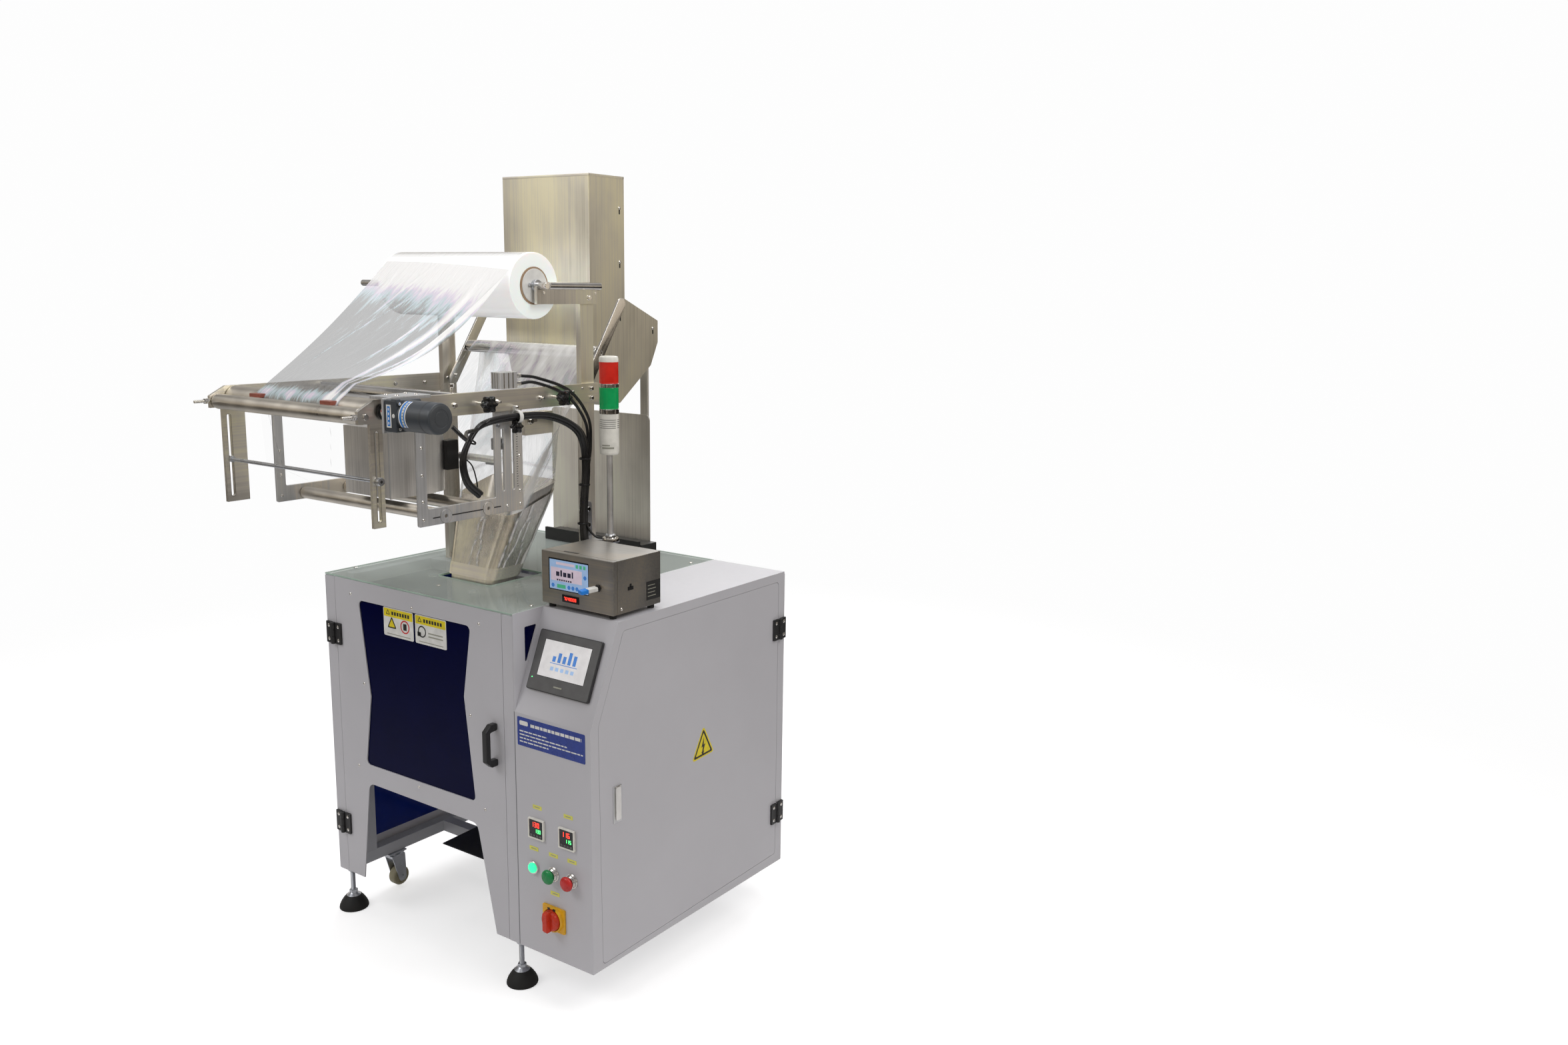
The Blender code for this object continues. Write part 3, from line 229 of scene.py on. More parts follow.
class Graph:
    """A material whose Principled shader is fed by procedural textures in object coordinates."""

    def __init__(self, name):
        self.material = bpy.data.materials.new(name)
        self.material.use_nodes = True
        self.nodes = self.material.node_tree.nodes
        self.links = self.material.node_tree.links
        self.shader = self.nodes["Principled BSDF"]

    def node(self, kind, inputs=None, **settings):
        made = self.nodes.new(kind)
        for name, value in settings.items():
            setattr(made, name, value)
        for name, value in (inputs or {}).items():
            made.inputs[name].default_value = value
        return made

    def join(self, output, target):
        self.links.new(output, target)

    def coordinates(self, stretch=(1, 1, 1)):
        source = self.node("ShaderNodeTexCoord").outputs["Object"]
        if stretch == (1, 1, 1):
            return source
        mapping = self.node("ShaderNodeMapping", {"Scale": stretch})
        self.join(source, mapping.inputs["Vector"])
        return mapping.outputs["Vector"]

    def noise(self, scale, detail=3.0, stretch=(1, 1, 1), distortion=0.0):
        made = self.node("ShaderNodeTexNoise", {"Scale": scale, "Detail": detail, "Distortion": distortion})
        self.join(self.coordinates(stretch), made.inputs["Vector"])
        return made.outputs[0]

    def ramp(self, value, stops):
        made = self.node("ShaderNodeValToRGB")
        fill_ramp(made, stops)
        self.join(value, made.inputs[0])
        return made.outputs["Color"]

    def spread(self, value, low, high):
        made = self.node("ShaderNodeMapRange", {"To Min": low, "To Max": high})
        self.join(value, made.inputs["Value"])
        return made.outputs["Result"]

    def attribute(self, name):
        return self.node("ShaderNodeAttribute", attribute_name=name).outputs["Fac"]

    def colour(self, value):
        self.join(value, self.shader.inputs["Base Color"])

    def roughness(self, value):
        self.join(value, self.shader.inputs["Roughness"])

    def bump(self, height, strength, distance):
        made = self.node("ShaderNodeBump", {"Strength": strength, "Distance": distance})
        self.join(height, made.inputs["Height"])
        if self.shader.inputs["Normal"].links:
            self.join(self.shader.inputs["Normal"].links[0].from_socket, made.inputs["Normal"])
        self.join(made.outputs[0], self.shader.inputs["Normal"])

    def set(self, **values):
        for name, value in values.items():
            self.shader.inputs[name.replace("_", " ")].default_value = value


def shade(colour, factor):
    return tuple(min(1.0, c * factor) for c in colour)


def paint(name, colour, roughness=0.42, texture=0.35):
    """Powder coat: an even colour with fine orange peel and a slow drift in tone."""
    graph = Graph(name)
    graph.colour(graph.ramp(graph.noise(3.5, 5), [(0.3, shade(colour, 0.965)), (0.7, shade(colour, 1.02))]))
    graph.roughness(graph.spread(graph.noise(60, 4), roughness - 0.06, roughness + 0.08))
    graph.bump(graph.noise(750, 2), texture, 0.0004)
    return graph.material


def brushed(name, colour, grain="X", roughness=0.30, depth=0.25):
    """Sheet metal whose grain runs along one axis, with cloudy tone and faint scratches."""
    along = {"X": (3, 260, 260), "Y": (260, 3, 260), "Z": (260, 260, 3)}[grain]
    graph = Graph(name)
    grain_lines = graph.noise(1.0, 4, along)
    cloud = graph.noise(5, 4, (1, 1, 0.45), 0.4)
    mix = graph.node("ShaderNodeMath", operation="MULTIPLY_ADD")
    mix.inputs[1].default_value = 0.35
    graph.join(grain_lines, mix.inputs[0])
    graph.join(cloud, mix.inputs[2])
    warm = tuple(min(1.0, c * w) for c, w in zip(colour, (1.30, 1.20, 1.05)))
    graph.colour(graph.ramp(mix.outputs[0], [(0.48, shade(colour, 0.74)), (0.66, colour), (0.84, warm)]))
    graph.roughness(graph.spread(mix.outputs[0], roughness - 0.12, roughness + 0.20))
    graph.bump(grain_lines, depth, 0.00015)
    graph.bump(cloud, 0.10, 0.003)
    graph.set(Metallic=1.0)
    return graph.material


def bright_metal(name, colour, roughness=0.12):
    """Turned or polished metal with slight tarnish."""
    graph = Graph(name)
    cloud = graph.noise(22, 5, distortion=0.3)
    graph.colour(graph.ramp(cloud, [(0.3, shade(colour, 0.86)), (0.7, shade(colour, 1.05))]))
    graph.roughness(graph.spread(cloud, roughness * 0.6, roughness * 1.7))
    graph.bump(graph.noise(420, 2), 0.06, 0.0003)
    graph.set(Metallic=1.0)
    return graph.material


def moulded(name, colour, roughness=0.35, grain=900, texture=0.15, glow=0.0, metal=0.0):
    """Moulded plastic, rubber or a printed face: fine grain, faint smudges and an optional glow."""
    graph = Graph(name)
    smudge = graph.noise(45, 4)
    graph.colour(graph.ramp(smudge, [(0.3, shade(colour, 0.88)), (0.7, shade(colour, 1.08))]))
    graph.roughness(graph.spread(smudge, max(0.02, roughness - 0.08), roughness + 0.12))
    graph.bump(graph.noise(grain, 2), texture, 0.0003)
    graph.set(Metallic=metal)
    if glow:
        graph.set(Emission_Color=(*colour, 1), Emission_Strength=glow)
    return graph.material


def pane(name, colour, alpha, roughness=0.05, gloss=0.5):
    """Clear or tinted sheet: see-through face on, more solid at its edges and at a glancing angle."""
    graph = Graph(name)
    facing = graph.node("ShaderNodeLayerWeight", {"Blend": 0.35})
    graph.join(graph.spread(facing.outputs["Facing"], alpha, min(1.0, alpha + 0.45)),
               graph.shader.inputs["Alpha"])
    graph.colour(graph.ramp(graph.noise(12, 3), [(0.3, shade(colour, 0.9)), (0.7, shade(colour, 1.1))]))
    graph.roughness(graph.spread(graph.noise(30, 4), roughness * 0.5, roughness * 1.8))
    graph.set(IOR=1.49, Specular_IOR_Level=gloss)
    return graph.material


def film_material(name, clear=0.16, painted_highlight=0.80, crinkle=0.25, tint=(0.90, 0.93, 0.95)):
    """Clear film: see-through, with painted white highlights along its folds that turn blue and pink at their
    edges.
    """
    graph = Graph(name)
    # Per-point strength of the painted highlight, written by the film sheets.
    fold_highlight = graph.attribute("painted_highlight")
    fine = graph.noise(16, 5, (9, 1.5, 1.5), 0.6)
    amount = graph.node("ShaderNodeMath", operation="ADD")
    graph.join(graph.spread(fine, -0.22, 0.22), amount.inputs[0])
    graph.join(fold_highlight, amount.inputs[1])
    # Painted highlights: the film turns from clear grey to white with blue and pink fringes, and grows more
    # solid where the painted highlight is strong.
    graph.colour(graph.ramp(amount.outputs[0], [
        (0.06, shade(tint, 0.15)), (0.24, shade(tint, 0.34)), (0.36, (0.58, 0.74, 0.80)),
        (0.46, (0.84, 0.74, 0.90)), (0.58, (1.0, 1.0, 1.0))]))
    graph.join(graph.spread(amount.outputs[0], clear - 0.06, painted_highlight + 0.16), graph.shader.inputs["Alpha"])
    graph.roughness(graph.spread(fine, 0.06, 0.24))
    graph.bump(fine, crinkle, 0.004)
    graph.set(IOR=1.5, Coat_Weight=0.6, Coat_Roughness=0.08)
    return graph.material


LIGHT_GREY = (0.575, 0.572, 0.612)
STEEL = (0.84, 0.80, 0.735)
CHROME = (0.80, 0.78, 0.75)


def make_materials():
    made = {
        "paint": paint("powder_coat", LIGHT_GREY),
        "frame_paint": paint("frame_paint", (0.50, 0.51, 0.55), 0.38),
        "hood_steel": brushed("hood_stainless", (0.82, 0.79, 0.69), "Z", 0.30),
        "pole": bright_metal("satin_pole", (0.86, 0.86, 0.86), 0.34),
        "steel_x": brushed("stainless_grain_x", STEEL, "X"),
        "steel_y": brushed("stainless_grain_y", STEEL, "Y"),
        "steel_z": brushed("stainless_grain_z", STEEL, "Z"),
        "former_steel": brushed("former_stainless", (0.84, 0.80, 0.73), "Z", 0.18, 0.12),
        "case_steel": brushed("case_stainless", (0.36, 0.345, 0.325), "X", 0.34),
        "plate_steel": brushed("plate_stainless", (0.93, 0.90, 0.84), "Z", 0.44),
        "coder_steel": brushed("coder_stainless", (0.86, 0.85, 0.84), "Z", 0.42),
        "dark_steel": brushed("dark_stainless", (0.36, 0.34, 0.31), "Y", 0.30),
        "chrome": bright_metal("polished_steel", CHROME),
        "roller_steel": bright_metal("ground_roller_steel", (0.74, 0.69, 0.61), 0.30),
        "zinc": bright_metal("zinc_plate", (0.60, 0.62, 0.66), 0.26),
        "aluminium": brushed("anodised_aluminium", (0.74, 0.75, 0.77), "Z", 0.42, 0.10),
        "black": moulded("black_plastic", (0.012, 0.012, 0.013), 0.30),
        "gloss_black": moulded("gloss_black_plastic", (0.010, 0.010, 0.011), 0.12, 600, 0.08),
        "black_metal": paint("black_enamel", (0.018, 0.018, 0.019), 0.40),
        "rubber": moulded("black_rubber", (0.008, 0.008, 0.008), 0.62, 500, 0.35),
        "cable": moulded("cable_sheath", (0.013, 0.013, 0.014), 0.28, 300, 0.10),
        "cream": moulded("cream_nylon", (0.36, 0.33, 0.22), 0.45),
        "motor": paint("motor_enamel", (0.055, 0.064, 0.075), 0.36, 0.45),
        "motor_cap": moulded("motor_end_cap", (0.060, 0.066, 0.074), 0.45, 800, 0.30),
        "bezel": moulded("bezel_plastic", (0.105, 0.105, 0.108), 0.34, 700, 0.06),
        "bezel_rim": moulded("bezel_rim", (0.030, 0.030, 0.032), 0.35),
        "screen": moulded("screen_face", (0.66, 0.65, 0.66), 0.16, 400, 0.02, 0.36),
        "screen_blue": moulded("screen_blue", (0.06, 0.20, 0.55), 0.16, 400, 0.02, 0.40),
        "screen_pale_blue": moulded("screen_pale_blue", (0.34, 0.50, 0.76), 0.16, 400, 0.02, 0.34),
        "screen_pink": moulded("screen_pink", (0.66, 0.56, 0.66), 0.16, 400, 0.02, 0.34),
        "screen_green": moulded("screen_green", (0.08, 0.45, 0.24), 0.16, 400, 0.02, 0.34),
        "screen_ink": moulded("screen_ink", (0.05, 0.05, 0.09), 0.2, 400, 0.02, 0.02),
        "white": moulded("white_plastic", (0.82, 0.82, 0.80), 0.35),
        "lamp_white": moulded("lamp_housing", (0.86, 0.85, 0.79), 0.30),
        "lens_red": moulded("red_lens", (0.62, 0.025, 0.015), 0.10, 260, 0.30, 0.10),
        "lens_green": moulded("green_lens", (0.010, 0.34, 0.10), 0.10, 260, 0.30, 0.10),
        "pilot": moulded("lit_green_lens", (0.03, 0.80, 0.30), 0.12, 300, 0.1, 1.3),
        "red": moulded("red_plastic", (0.56, 0.020, 0.018), 0.26),
        "switch_red": moulded("switch_red", (0.62, 0.035, 0.010), 0.26),
        "green": moulded("green_plastic", (0.008, 0.26, 0.07), 0.26),
        "yellow": moulded("yellow_plastic", (0.86, 0.46, 0.012), 0.32),
        "sign_yellow": moulded("yellow_print", (0.86, 0.70, 0.02), 0.36, 600, 0.04),
        "tag_yellow": moulded("tag_print", (0.80, 0.78, 0.14), 0.45, 600, 0.04),
        "ink": moulded("black_print", (0.02, 0.02, 0.02), 0.40, 600, 0.04),
        "grey_ink": moulded("grey_print", (0.36, 0.36, 0.30), 0.45, 600, 0.04),
        "sticker": moulded("sticker_white", (0.84, 0.84, 0.82), 0.30, 600, 0.04),
        "red_ink": moulded("red_print", (0.66, 0.02, 0.02), 0.40, 600, 0.04),
        "plate_blue": moulded("blue_plate", (0.016, 0.045, 0.30), 0.26, 500, 0.06),
        "label_blue": moulded("blue_print", (0.03, 0.22, 0.66), 0.30, 500, 0.06),
        "usb_blue": moulded("blue_cap", (0.02, 0.24, 0.80), 0.22),
        "red_led": moulded("red_digits", (1.0, 0.05, 0.03), 0.3, 300, 0.02, 2.2),
        "green_led": moulded("green_digits", (0.10, 1.0, 0.25), 0.3, 300, 0.02, 2.0),
        "card": moulded("cardboard", (0.42, 0.29, 0.19), 0.75, 500, 0.4),
        "tape": moulded("brown_tape", (0.27, 0.075, 0.05), 0.30, 400, 0.1),
        "navy": pane("navy_acrylic", (0.0012, 0.0022, 0.034), 0.95, 0.04, 0.06),
        "side_blue": pane("blue_acrylic", (0.002, 0.016, 0.190), 0.92, 0.08, 0.3),
        # A dark grey for a painted shadow along a gap.
        "seam": moulded("shadow_gap", (0.22, 0.22, 0.24), 0.6, 500, 0.05),
        "clear": pane("clear_acrylic", (0.62, 0.70, 0.66), 0.16, 0.05),
        "clear_edge": pane("acrylic_edge", (0.50, 0.68, 0.58), 0.70, 0.10),
        "film": film_material("packing_film", 0.60, 0.88),
        "film_thin": film_material("packing_film_thin", 0.08, 0.62),
        "film_shoulder": film_material("shoulder_film", 0.20, 0.80, 0.14, (0.95, 0.97, 0.98)),
        "film_former": film_material("former_film", 0.16, 0.72, 0.5),
    }
    roll = Graph("wound_film")
    layers = roll.noise(5, 4, (1.5, 20, 20))
    roll.colour(roll.ramp(layers, [(0.3, (0.80, 0.82, 0.82)), (0.7, (0.93, 0.94, 0.95))]))
    roll.roughness(roll.spread(roll.noise(8, 4, (1, 24, 24)), 0.05, 0.22))
    roll.bump(roll.noise(9, 3, (1.2, 30, 30)), 0.10, 0.002)
    # The Emission makes the wound film glow faintly: painted light that brightens the roll.
    roll.set(Subsurface_Weight=0.35, Subsurface_Scale=0.03, Coat_Weight=0.5, Coat_Roughness=0.06,
             Emission_Color=(1, 1, 1, 1), Emission_Strength=0.42)
    made["wound_film"] = roll.material
    ends = Graph("wound_film_end")
    rings = ends.node("ShaderNodeTexWave", {"Scale": 120.0, "Distortion": 1.2}, wave_type="RINGS",
                      rings_direction="X")
    shifted = ends.node("ShaderNodeMapping", {"Location": tuple(-local_centre("film_roll") - ORIGIN)})
    ends.join(ends.coordinates(), shifted.inputs["Vector"])
    ends.join(shifted.outputs["Vector"], rings.inputs["Vector"])
    ends.colour(ends.ramp(rings.outputs["Fac"], [(0.2, (0.66, 0.70, 0.69)), (0.8, (0.78, 0.81, 0.80))]))
    ends.roughness(ends.spread(rings.outputs["Fac"], 0.30, 0.45))
    # The roll's ends glow faintly too: painted light.
    ends.set(Subsurface_Weight=0.4, Subsurface_Scale=0.03, Emission_Color=(0.95, 1, 0.98, 1),
             Emission_Strength=0.36)
    made["wound_film_end"] = ends.material
    return made


# Shapes -------------------------------------------------------------------------------------------

AXES = {"X": Vector((1, 0, 0)), "Y": Vector((0, 1, 0)), "Z": Vector((0, 0, 1)),
        "-X": Vector((-1, 0, 0)), "-Y": Vector((0, -1, 0)), "-Z": Vector((0, 0, -1))}
SHARP_ANGLE = math.radians(40)
PLATE_AXES = {
    "X": Matrix(((0, 0, 1, 0), (1, 0, 0, 0), (0, 1, 0, 0), (0, 0, 0, 1))),
    "Y": Matrix(((1, 0, 0, 0), (0, 0, -1, 0), (0, 1, 0, 0), (0, 0, 0, 1))),
    "Z": Matrix.Identity(4),
}


def block(x, y, z, edge=0.0006):
    """A block between the pairs x, y and z with rounded edges."""
    bm = bmesh.new()
    bmesh.ops.create_cube(bm, size=1)
    size = Vector((x[1] - x[0], y[1] - y[0], z[1] - z[0]))
    middle = Vector((sum(x) / 2, sum(y) / 2, sum(z) / 2))
    bmesh.ops.transform(bm, matrix=Matrix.Translation(middle) @ Matrix.Diagonal((*size, 1)), verts=bm.verts)
    edge = min(edge, 0.4 * min(size))
    bmesh.ops.bevel(bm, geom=bm.edges[:], offset=edge, segments=2, profile=0.5, affect="EDGES")
    return bm


def turned(profile, foot, axis="Z", steps=40):
    """A profile of (radius, height) points turned about axis through foot."""
    bm = bmesh.new()
    points = [bm.verts.new((radius, 0, height)) for radius, height in profile]
    for first, second in zip(points, points[1:]):
        bm.edges.new((first, second))
    bmesh.ops.spin(bm, geom=bm.verts[:] + bm.edges[:], cent=(0, 0, 0), axis=(0, 0, 1), dvec=(0, 0, 0),
                   angle=2 * math.pi, steps=steps, use_duplicate=False)
    bmesh.ops.remove_doubles(bm, verts=bm.verts, dist=1e-6)
    bmesh.ops.recalc_face_normals(bm, faces=bm.faces)
    direction = AXES[axis] if isinstance(axis, str) else Vector(axis)
    turn = Vector((0, 0, 1)).rotation_difference(direction).to_matrix().to_4x4()
    bmesh.ops.transform(bm, matrix=Matrix.Translation(foot) @ turn, verts=bm.verts)
    return bm


def rod(start, end, radius, steps=32, edge=0.0005):
    """A round bar with chamfered ends."""
    start, end = Vector(start), Vector(end)
    length = (end - start).length
    edge = min(edge, radius * 0.5, length * 0.4)
    profile = [(0, 0), (radius - edge, 0), (radius, edge), (radius, length - edge), (radius - edge, length),
               (0, length)]
    return turned(profile, start, (end - start).normalized(), steps)


def ring(start, end, outer, inner, steps=40):
    """A sleeve or washer from start to end."""
    start, end = Vector(start), Vector(end)
    length = (end - start).length
    edge = min(0.0004, length * 0.3, (outer - inner) * 0.3)
    profile = [(inner, 0), (outer - edge, 0), (outer, edge), (outer, length - edge), (outer - edge, length),
               (inner, length), (inner, 0)]
    return turned(profile, start, (end - start).normalized(), steps)


def from_curve(curve, matrix):
    obj = bpy.data.objects.new("shape", curve)
    bpy.context.scene.collection.objects.link(obj)
    bpy.context.view_layer.update()
    mesh = bpy.data.meshes.new_from_object(obj.evaluated_get(bpy.context.evaluated_depsgraph_get()))
    bpy.data.objects.remove(obj)
    bpy.data.curves.remove(curve)
    bm = bmesh.new()
    bm.from_mesh(mesh)
    bpy.data.meshes.remove(mesh)
    bmesh.ops.remove_doubles(bm, verts=bm.verts, dist=1e-6)
    bmesh.ops.dissolve_degenerate(bm, dist=1e-7, edges=bm.edges)
    bmesh.ops.transform(bm, matrix=matrix, verts=bm.verts)
    return bm


def sheet_metal(normal, across, loops, edge=0.0004):
    """A flat plate between the pair across on the normal axis: the first loop is its outline, the rest holes.

    Loop points are (y, z) for normal X, (x, z) for normal Y and (x, y) for normal Z."""
    curve = bpy.data.curves.new("plate", "CURVE")
    curve.dimensions = "2D"
    curve.fill_mode = "BOTH"
    half = (across[1] - across[0]) / 2
    edge = min(edge, half * 0.45)
    curve.extrude = half - edge
    curve.bevel_depth = edge
    curve.bevel_resolution = 1
    curve.offset = -edge
    for loop in loops:
        spline = curve.splines.new("POLY")
        spline.points.add(len(loop) - 1)
        for point, (u, v) in zip(spline.points, loop):
            point.co = (u, v, 0, 1)
        spline.use_cyclic_u = True
    middle = AXES[normal] * sum(across) / 2
    return from_curve(curve, Matrix.Translation(middle) @ PLATE_AXES[normal])


def smooth_route(points, step):
    """Points about one step apart on a Catmull-Rom curve through the given ones."""
    points = [Vector(p) for p in points]
    points = [2 * points[0] - points[1], *points, 2 * points[-1] - points[-2]]
    route = [points[1]]
    for a, b, c, d in zip(points, points[1:], points[2:], points[3:]):
        count = max(1, round((c - b).length / step))
        for i in range(1, count + 1):
            t = i / count
            route.append(0.5 * (2 * b + (c - a) * t + (2 * a - 5 * b + 4 * c - d) * t**2
                                + (3 * b - a - 3 * c + d) * t**3))
    return route


def hose(points, radius, sides=3):
    """A round cable along a smooth curve through points."""
    curve = bpy.data.curves.new("hose", "CURVE")
    curve.dimensions = "3D"
    curve.bevel_depth = radius
    curve.bevel_resolution = sides
    curve.use_fill_caps = True
    route = smooth_route(points, max(radius * 1.6, 0.004))
    spline = curve.splines.new("POLY")
    spline.points.add(len(route) - 1)
    for point, place in zip(spline.points, route):
        point.co = (*place, 1)
    return from_curve(curve, Matrix.Identity(4))


def rectangle(u, v):
    return [(u[0], v[0]), (u[1], v[0]), (u[1], v[1]), (u[0], v[1])]


def circle(centre, radius, sides=32):
    turns = [2 * math.pi * i / sides for i in range(sides)]
    return [(centre[0] + radius * math.cos(a), centre[1] + radius * math.sin(a)) for a in turns]


def long_hole(start, end, radius, sides=10):
    """A long hole with round ends about start and end."""
    heading = math.atan2(end[1] - start[1], end[0] - start[0])
    loop = []
    for centre, first in ((end, heading - math.pi / 2), (start, heading + math.pi / 2)):
        for i in range(sides + 1):
            a = first + math.pi * i / sides
            loop.append((centre[0] + radius * math.cos(a), centre[1] + radius * math.sin(a)))
    return loop


def rounded(points, radius, steps=6):
    """The outline with each corner replaced by an arc of the given radius."""
    loop = []
    for before, corner, after in zip(points[-1:] + points[:-1], points, points[1:] + points[:1]):
        corner = Vector(corner)
        back = (Vector(before) - corner).normalized()
        ahead = (Vector(after) - corner).normalized()
        half = back.angle(ahead) / 2
        reach = radius / math.tan(half)
        centre = corner + (back + ahead).normalized() * radius / math.sin(half)
        first = corner + back * reach - centre
        sweep = first.angle_signed(corner + ahead * reach - centre)
        for i in range(steps + 1):
            a = -sweep * i / steps
            loop.append((centre[0] + first[0] * math.cos(a) - first[1] * math.sin(a),
                         centre[1] + first[0] * math.sin(a) + first[1] * math.cos(a)))
    return loop


def about(middle, half):
    """The two ends at a distance half from the middle."""
    return middle - half, middle + half


def inset(span, margin):
    """The pair's two ends moved in by margin."""
    return span[0] + margin, span[1] - margin


def panel(normal, across, u, v, radius, edge=0.0001):
    """A flat rectangular plate with rounded corners."""
    return sheet_metal(normal, across, [rounded(rectangle(u, v), radius)], edge)


def thread(low, high, turns, pitch, core, crest):
    """The profile of a threaded rod, its thread as even ridges."""
    profile = [(0, low)]
    for i in range(turns):
        profile += [(core, low + i * pitch), (crest, low + (i + 0.5) * pitch)]
    return profile + [(core, high), (0, high)]


def star_outline(y, z, radius, wave, count):
    """The outline of a grip with six lobes."""
    outline = []
    for i in range(count):
        a = 2 * math.pi * i / count
        r = radius + wave * math.cos(6 * a)
        outline.append((y + r * math.cos(a), z + r * math.sin(a)))
    return outline


def strip(pairs):
    """A strip of faces over pairs of points."""
    bm = bmesh.new()
    rows = [[bm.verts.new(point) for point in pair] for pair in pairs]
    for (a, b), (c, d) in zip(rows, rows[1:]):
        bm.faces.new((a, b, d, c))
    return bm


class Kit:
    """Collects shapes in machine coordinates, each with its own material, into one piece."""

    def __init__(self, material=None):
        self.bm = bmesh.new()
        self.materials = []
        self.index = 0
        if material:
            self.paint(material)

    def paint(self, material):
        if material not in self.materials:
            self.materials.append(material)
        self.index = self.materials.index(material)
        return self

    def add(self, *shapes, matrix=None):
        for shape in shapes:
            for face in shape.faces:
                face.material_index = self.index
                face.smooth = True
            if matrix:
                bmesh.ops.transform(shape, matrix=matrix, verts=shape.verts)
            mesh = bpy.data.meshes.new("shape")
            shape.to_mesh(mesh)
            shape.free()
            self.bm.from_mesh(mesh)
            bpy.data.meshes.remove(mesh)
        return self

    def hex_bolt(self, at, axis, size=0.005, head=0.004):
        """A hexagon head on a washer, standing out of the surface along axis."""
        direction = AXES[axis]
        at = Vector(at)
        self.add(ring(at, at + direction * 0.0012, size * 1.25, size * 0.5, 24))
        start = at + direction * 0.0011
        self.add(rod(start, start + direction * head, size, 6, 0.0005))
        return self

    def screw(self, at, axis, radius=0.0035, head=0.0022):
        """A domed head with a socket."""
        foot = Vector(at)
        profile = [(0, head * 0.45), (radius * 0.42, head * 0.45), (radius * 0.45, head),
                   (radius * 0.7, head * 0.95), (radius, head * 0.45), (radius, 0), (0, 0)]
        self.add(turned(profile, foot, axis, 20))
        return self

    def finish(self, name, body, slot=None, replaces=()):
        mesh = bpy.data.meshes.new(name)
        self.bm.to_mesh(mesh)
        self.bm.free()
        mesh.transform(Matrix.Translation(ORIGIN))
        for material in self.materials:
            mesh.materials.append(MATERIALS[material])
        mesh.set_sharp_from_angle(angle=SHARP_ANGLE)
        obj = bpy.data.objects.new(name, mesh)
        bpy.context.scene.collection.objects.link(obj)
        weighted = obj.modifiers.new("normals", "WEIGHTED_NORMAL")
        weighted.keep_sharp = True
        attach(obj, body)
        if replaces:
            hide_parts(*replaces)
        return obj


def dress(node, material, edge=0.0):
    """A CAD node keeps its shape and takes a material, with softened edges where edge is given."""
    obj = NODES[node]
    obj.data.materials.clear()
    obj.data.materials.append(MATERIALS[material])
    if edge:
        weld = obj.modifiers.new("weld", "WELD")
        weld.merge_threshold = 0.00001
        bevel = obj.modifiers.new("edges", "BEVEL")
        bevel.width = edge
        bevel.segments = 2
        bevel.limit_method = "ANGLE"
        bevel.angle_limit = SHARP_ANGLE
        bevel.use_clamp_overlap = True
        normals = obj.modifiers.new("normals", "WEIGHTED_NORMAL")
        normals.keep_sharp = False


# Cabinet ------------------------------------------------------------------------------------------

DOOR_FACE = 0.0
CONTROL_FACE = 0.0
SIDE_FACE = 0.883
GLASS_FACE = 0.0033


def dress_cabinet():
    for node in ("cabinet_shell", "front_frame", "control_housing", "side_door", "front_door"):
        dress(node, "paint", 0.0009)
    dress("base_frame", "frame_paint", 0.0012)
    dress("door_window", "navy")
    dress("discharge_tray", "black_metal", 0.0004)
    dress("top_cover", "clear")
    for node in ("jaw_front", "jaw_rear"):
        dress(node, "steel_x", 0.0012)
    dress("vertical_sealer", "aluminium", 0.0008)
    for node in ("pull_roller_left", "pull_roller_right"):
        dress(node, "rubber", 0.0010)


def lid_details():
    """Bright sawn edges of the clear lid, the machine screws that hold it and the black rear gutter."""
    z = (0.8853, 0.8888)
    kit = Kit("clear_edge")
    kit.add(block((0.0006, 0.6554), (0.0005, 0.0022), z), block((0.0006, 0.0023), (0.002, 0.712), z),
            block((0.6537, 0.6554), (0.002, 0.712), z), block((0.002, 0.654), (0.7105, 0.7129), z))
    hole = rounded(rectangle((0.236, 0.424), (0.148, 0.330)), 0.012)
    inner = rounded(rectangle((0.2385, 0.4215), (0.1505, 0.3275)), 0.0100)
    kit.add(sheet_metal("Z", (0.8849, 0.8893), [hole, inner]))
    kit.finish("lid_edges", "machine", "clear_acrylic")
    kit = Kit("chrome")
    for x in (0.020, 0.330, 0.638):
        for y in (0.075, 0.640):
            kit.screw((x, y, 0.8891), "Z", 0.0050, 0.0030)
    kit.finish("lid_screws", "machine", "bright_steel")
    kit = Kit("black_metal")
    kit.add(block((0.112, 0.470), (0.640, 0.700), (0.8896, 0.9140)))
    kit.add(block((0.118, 0.464), (0.634, 0.642), (0.8896, 0.9235)))
    kit.finish("rear_gutter", "machine", "black_metal")


RIVETS = ((0.098, 0.849), (0.323, 0.849), (0.550, 0.849), (0.135, 0.629), (0.513, 0.628), (0.099, 0.411),
          (0.324, 0.409), (0.553, 0.411))


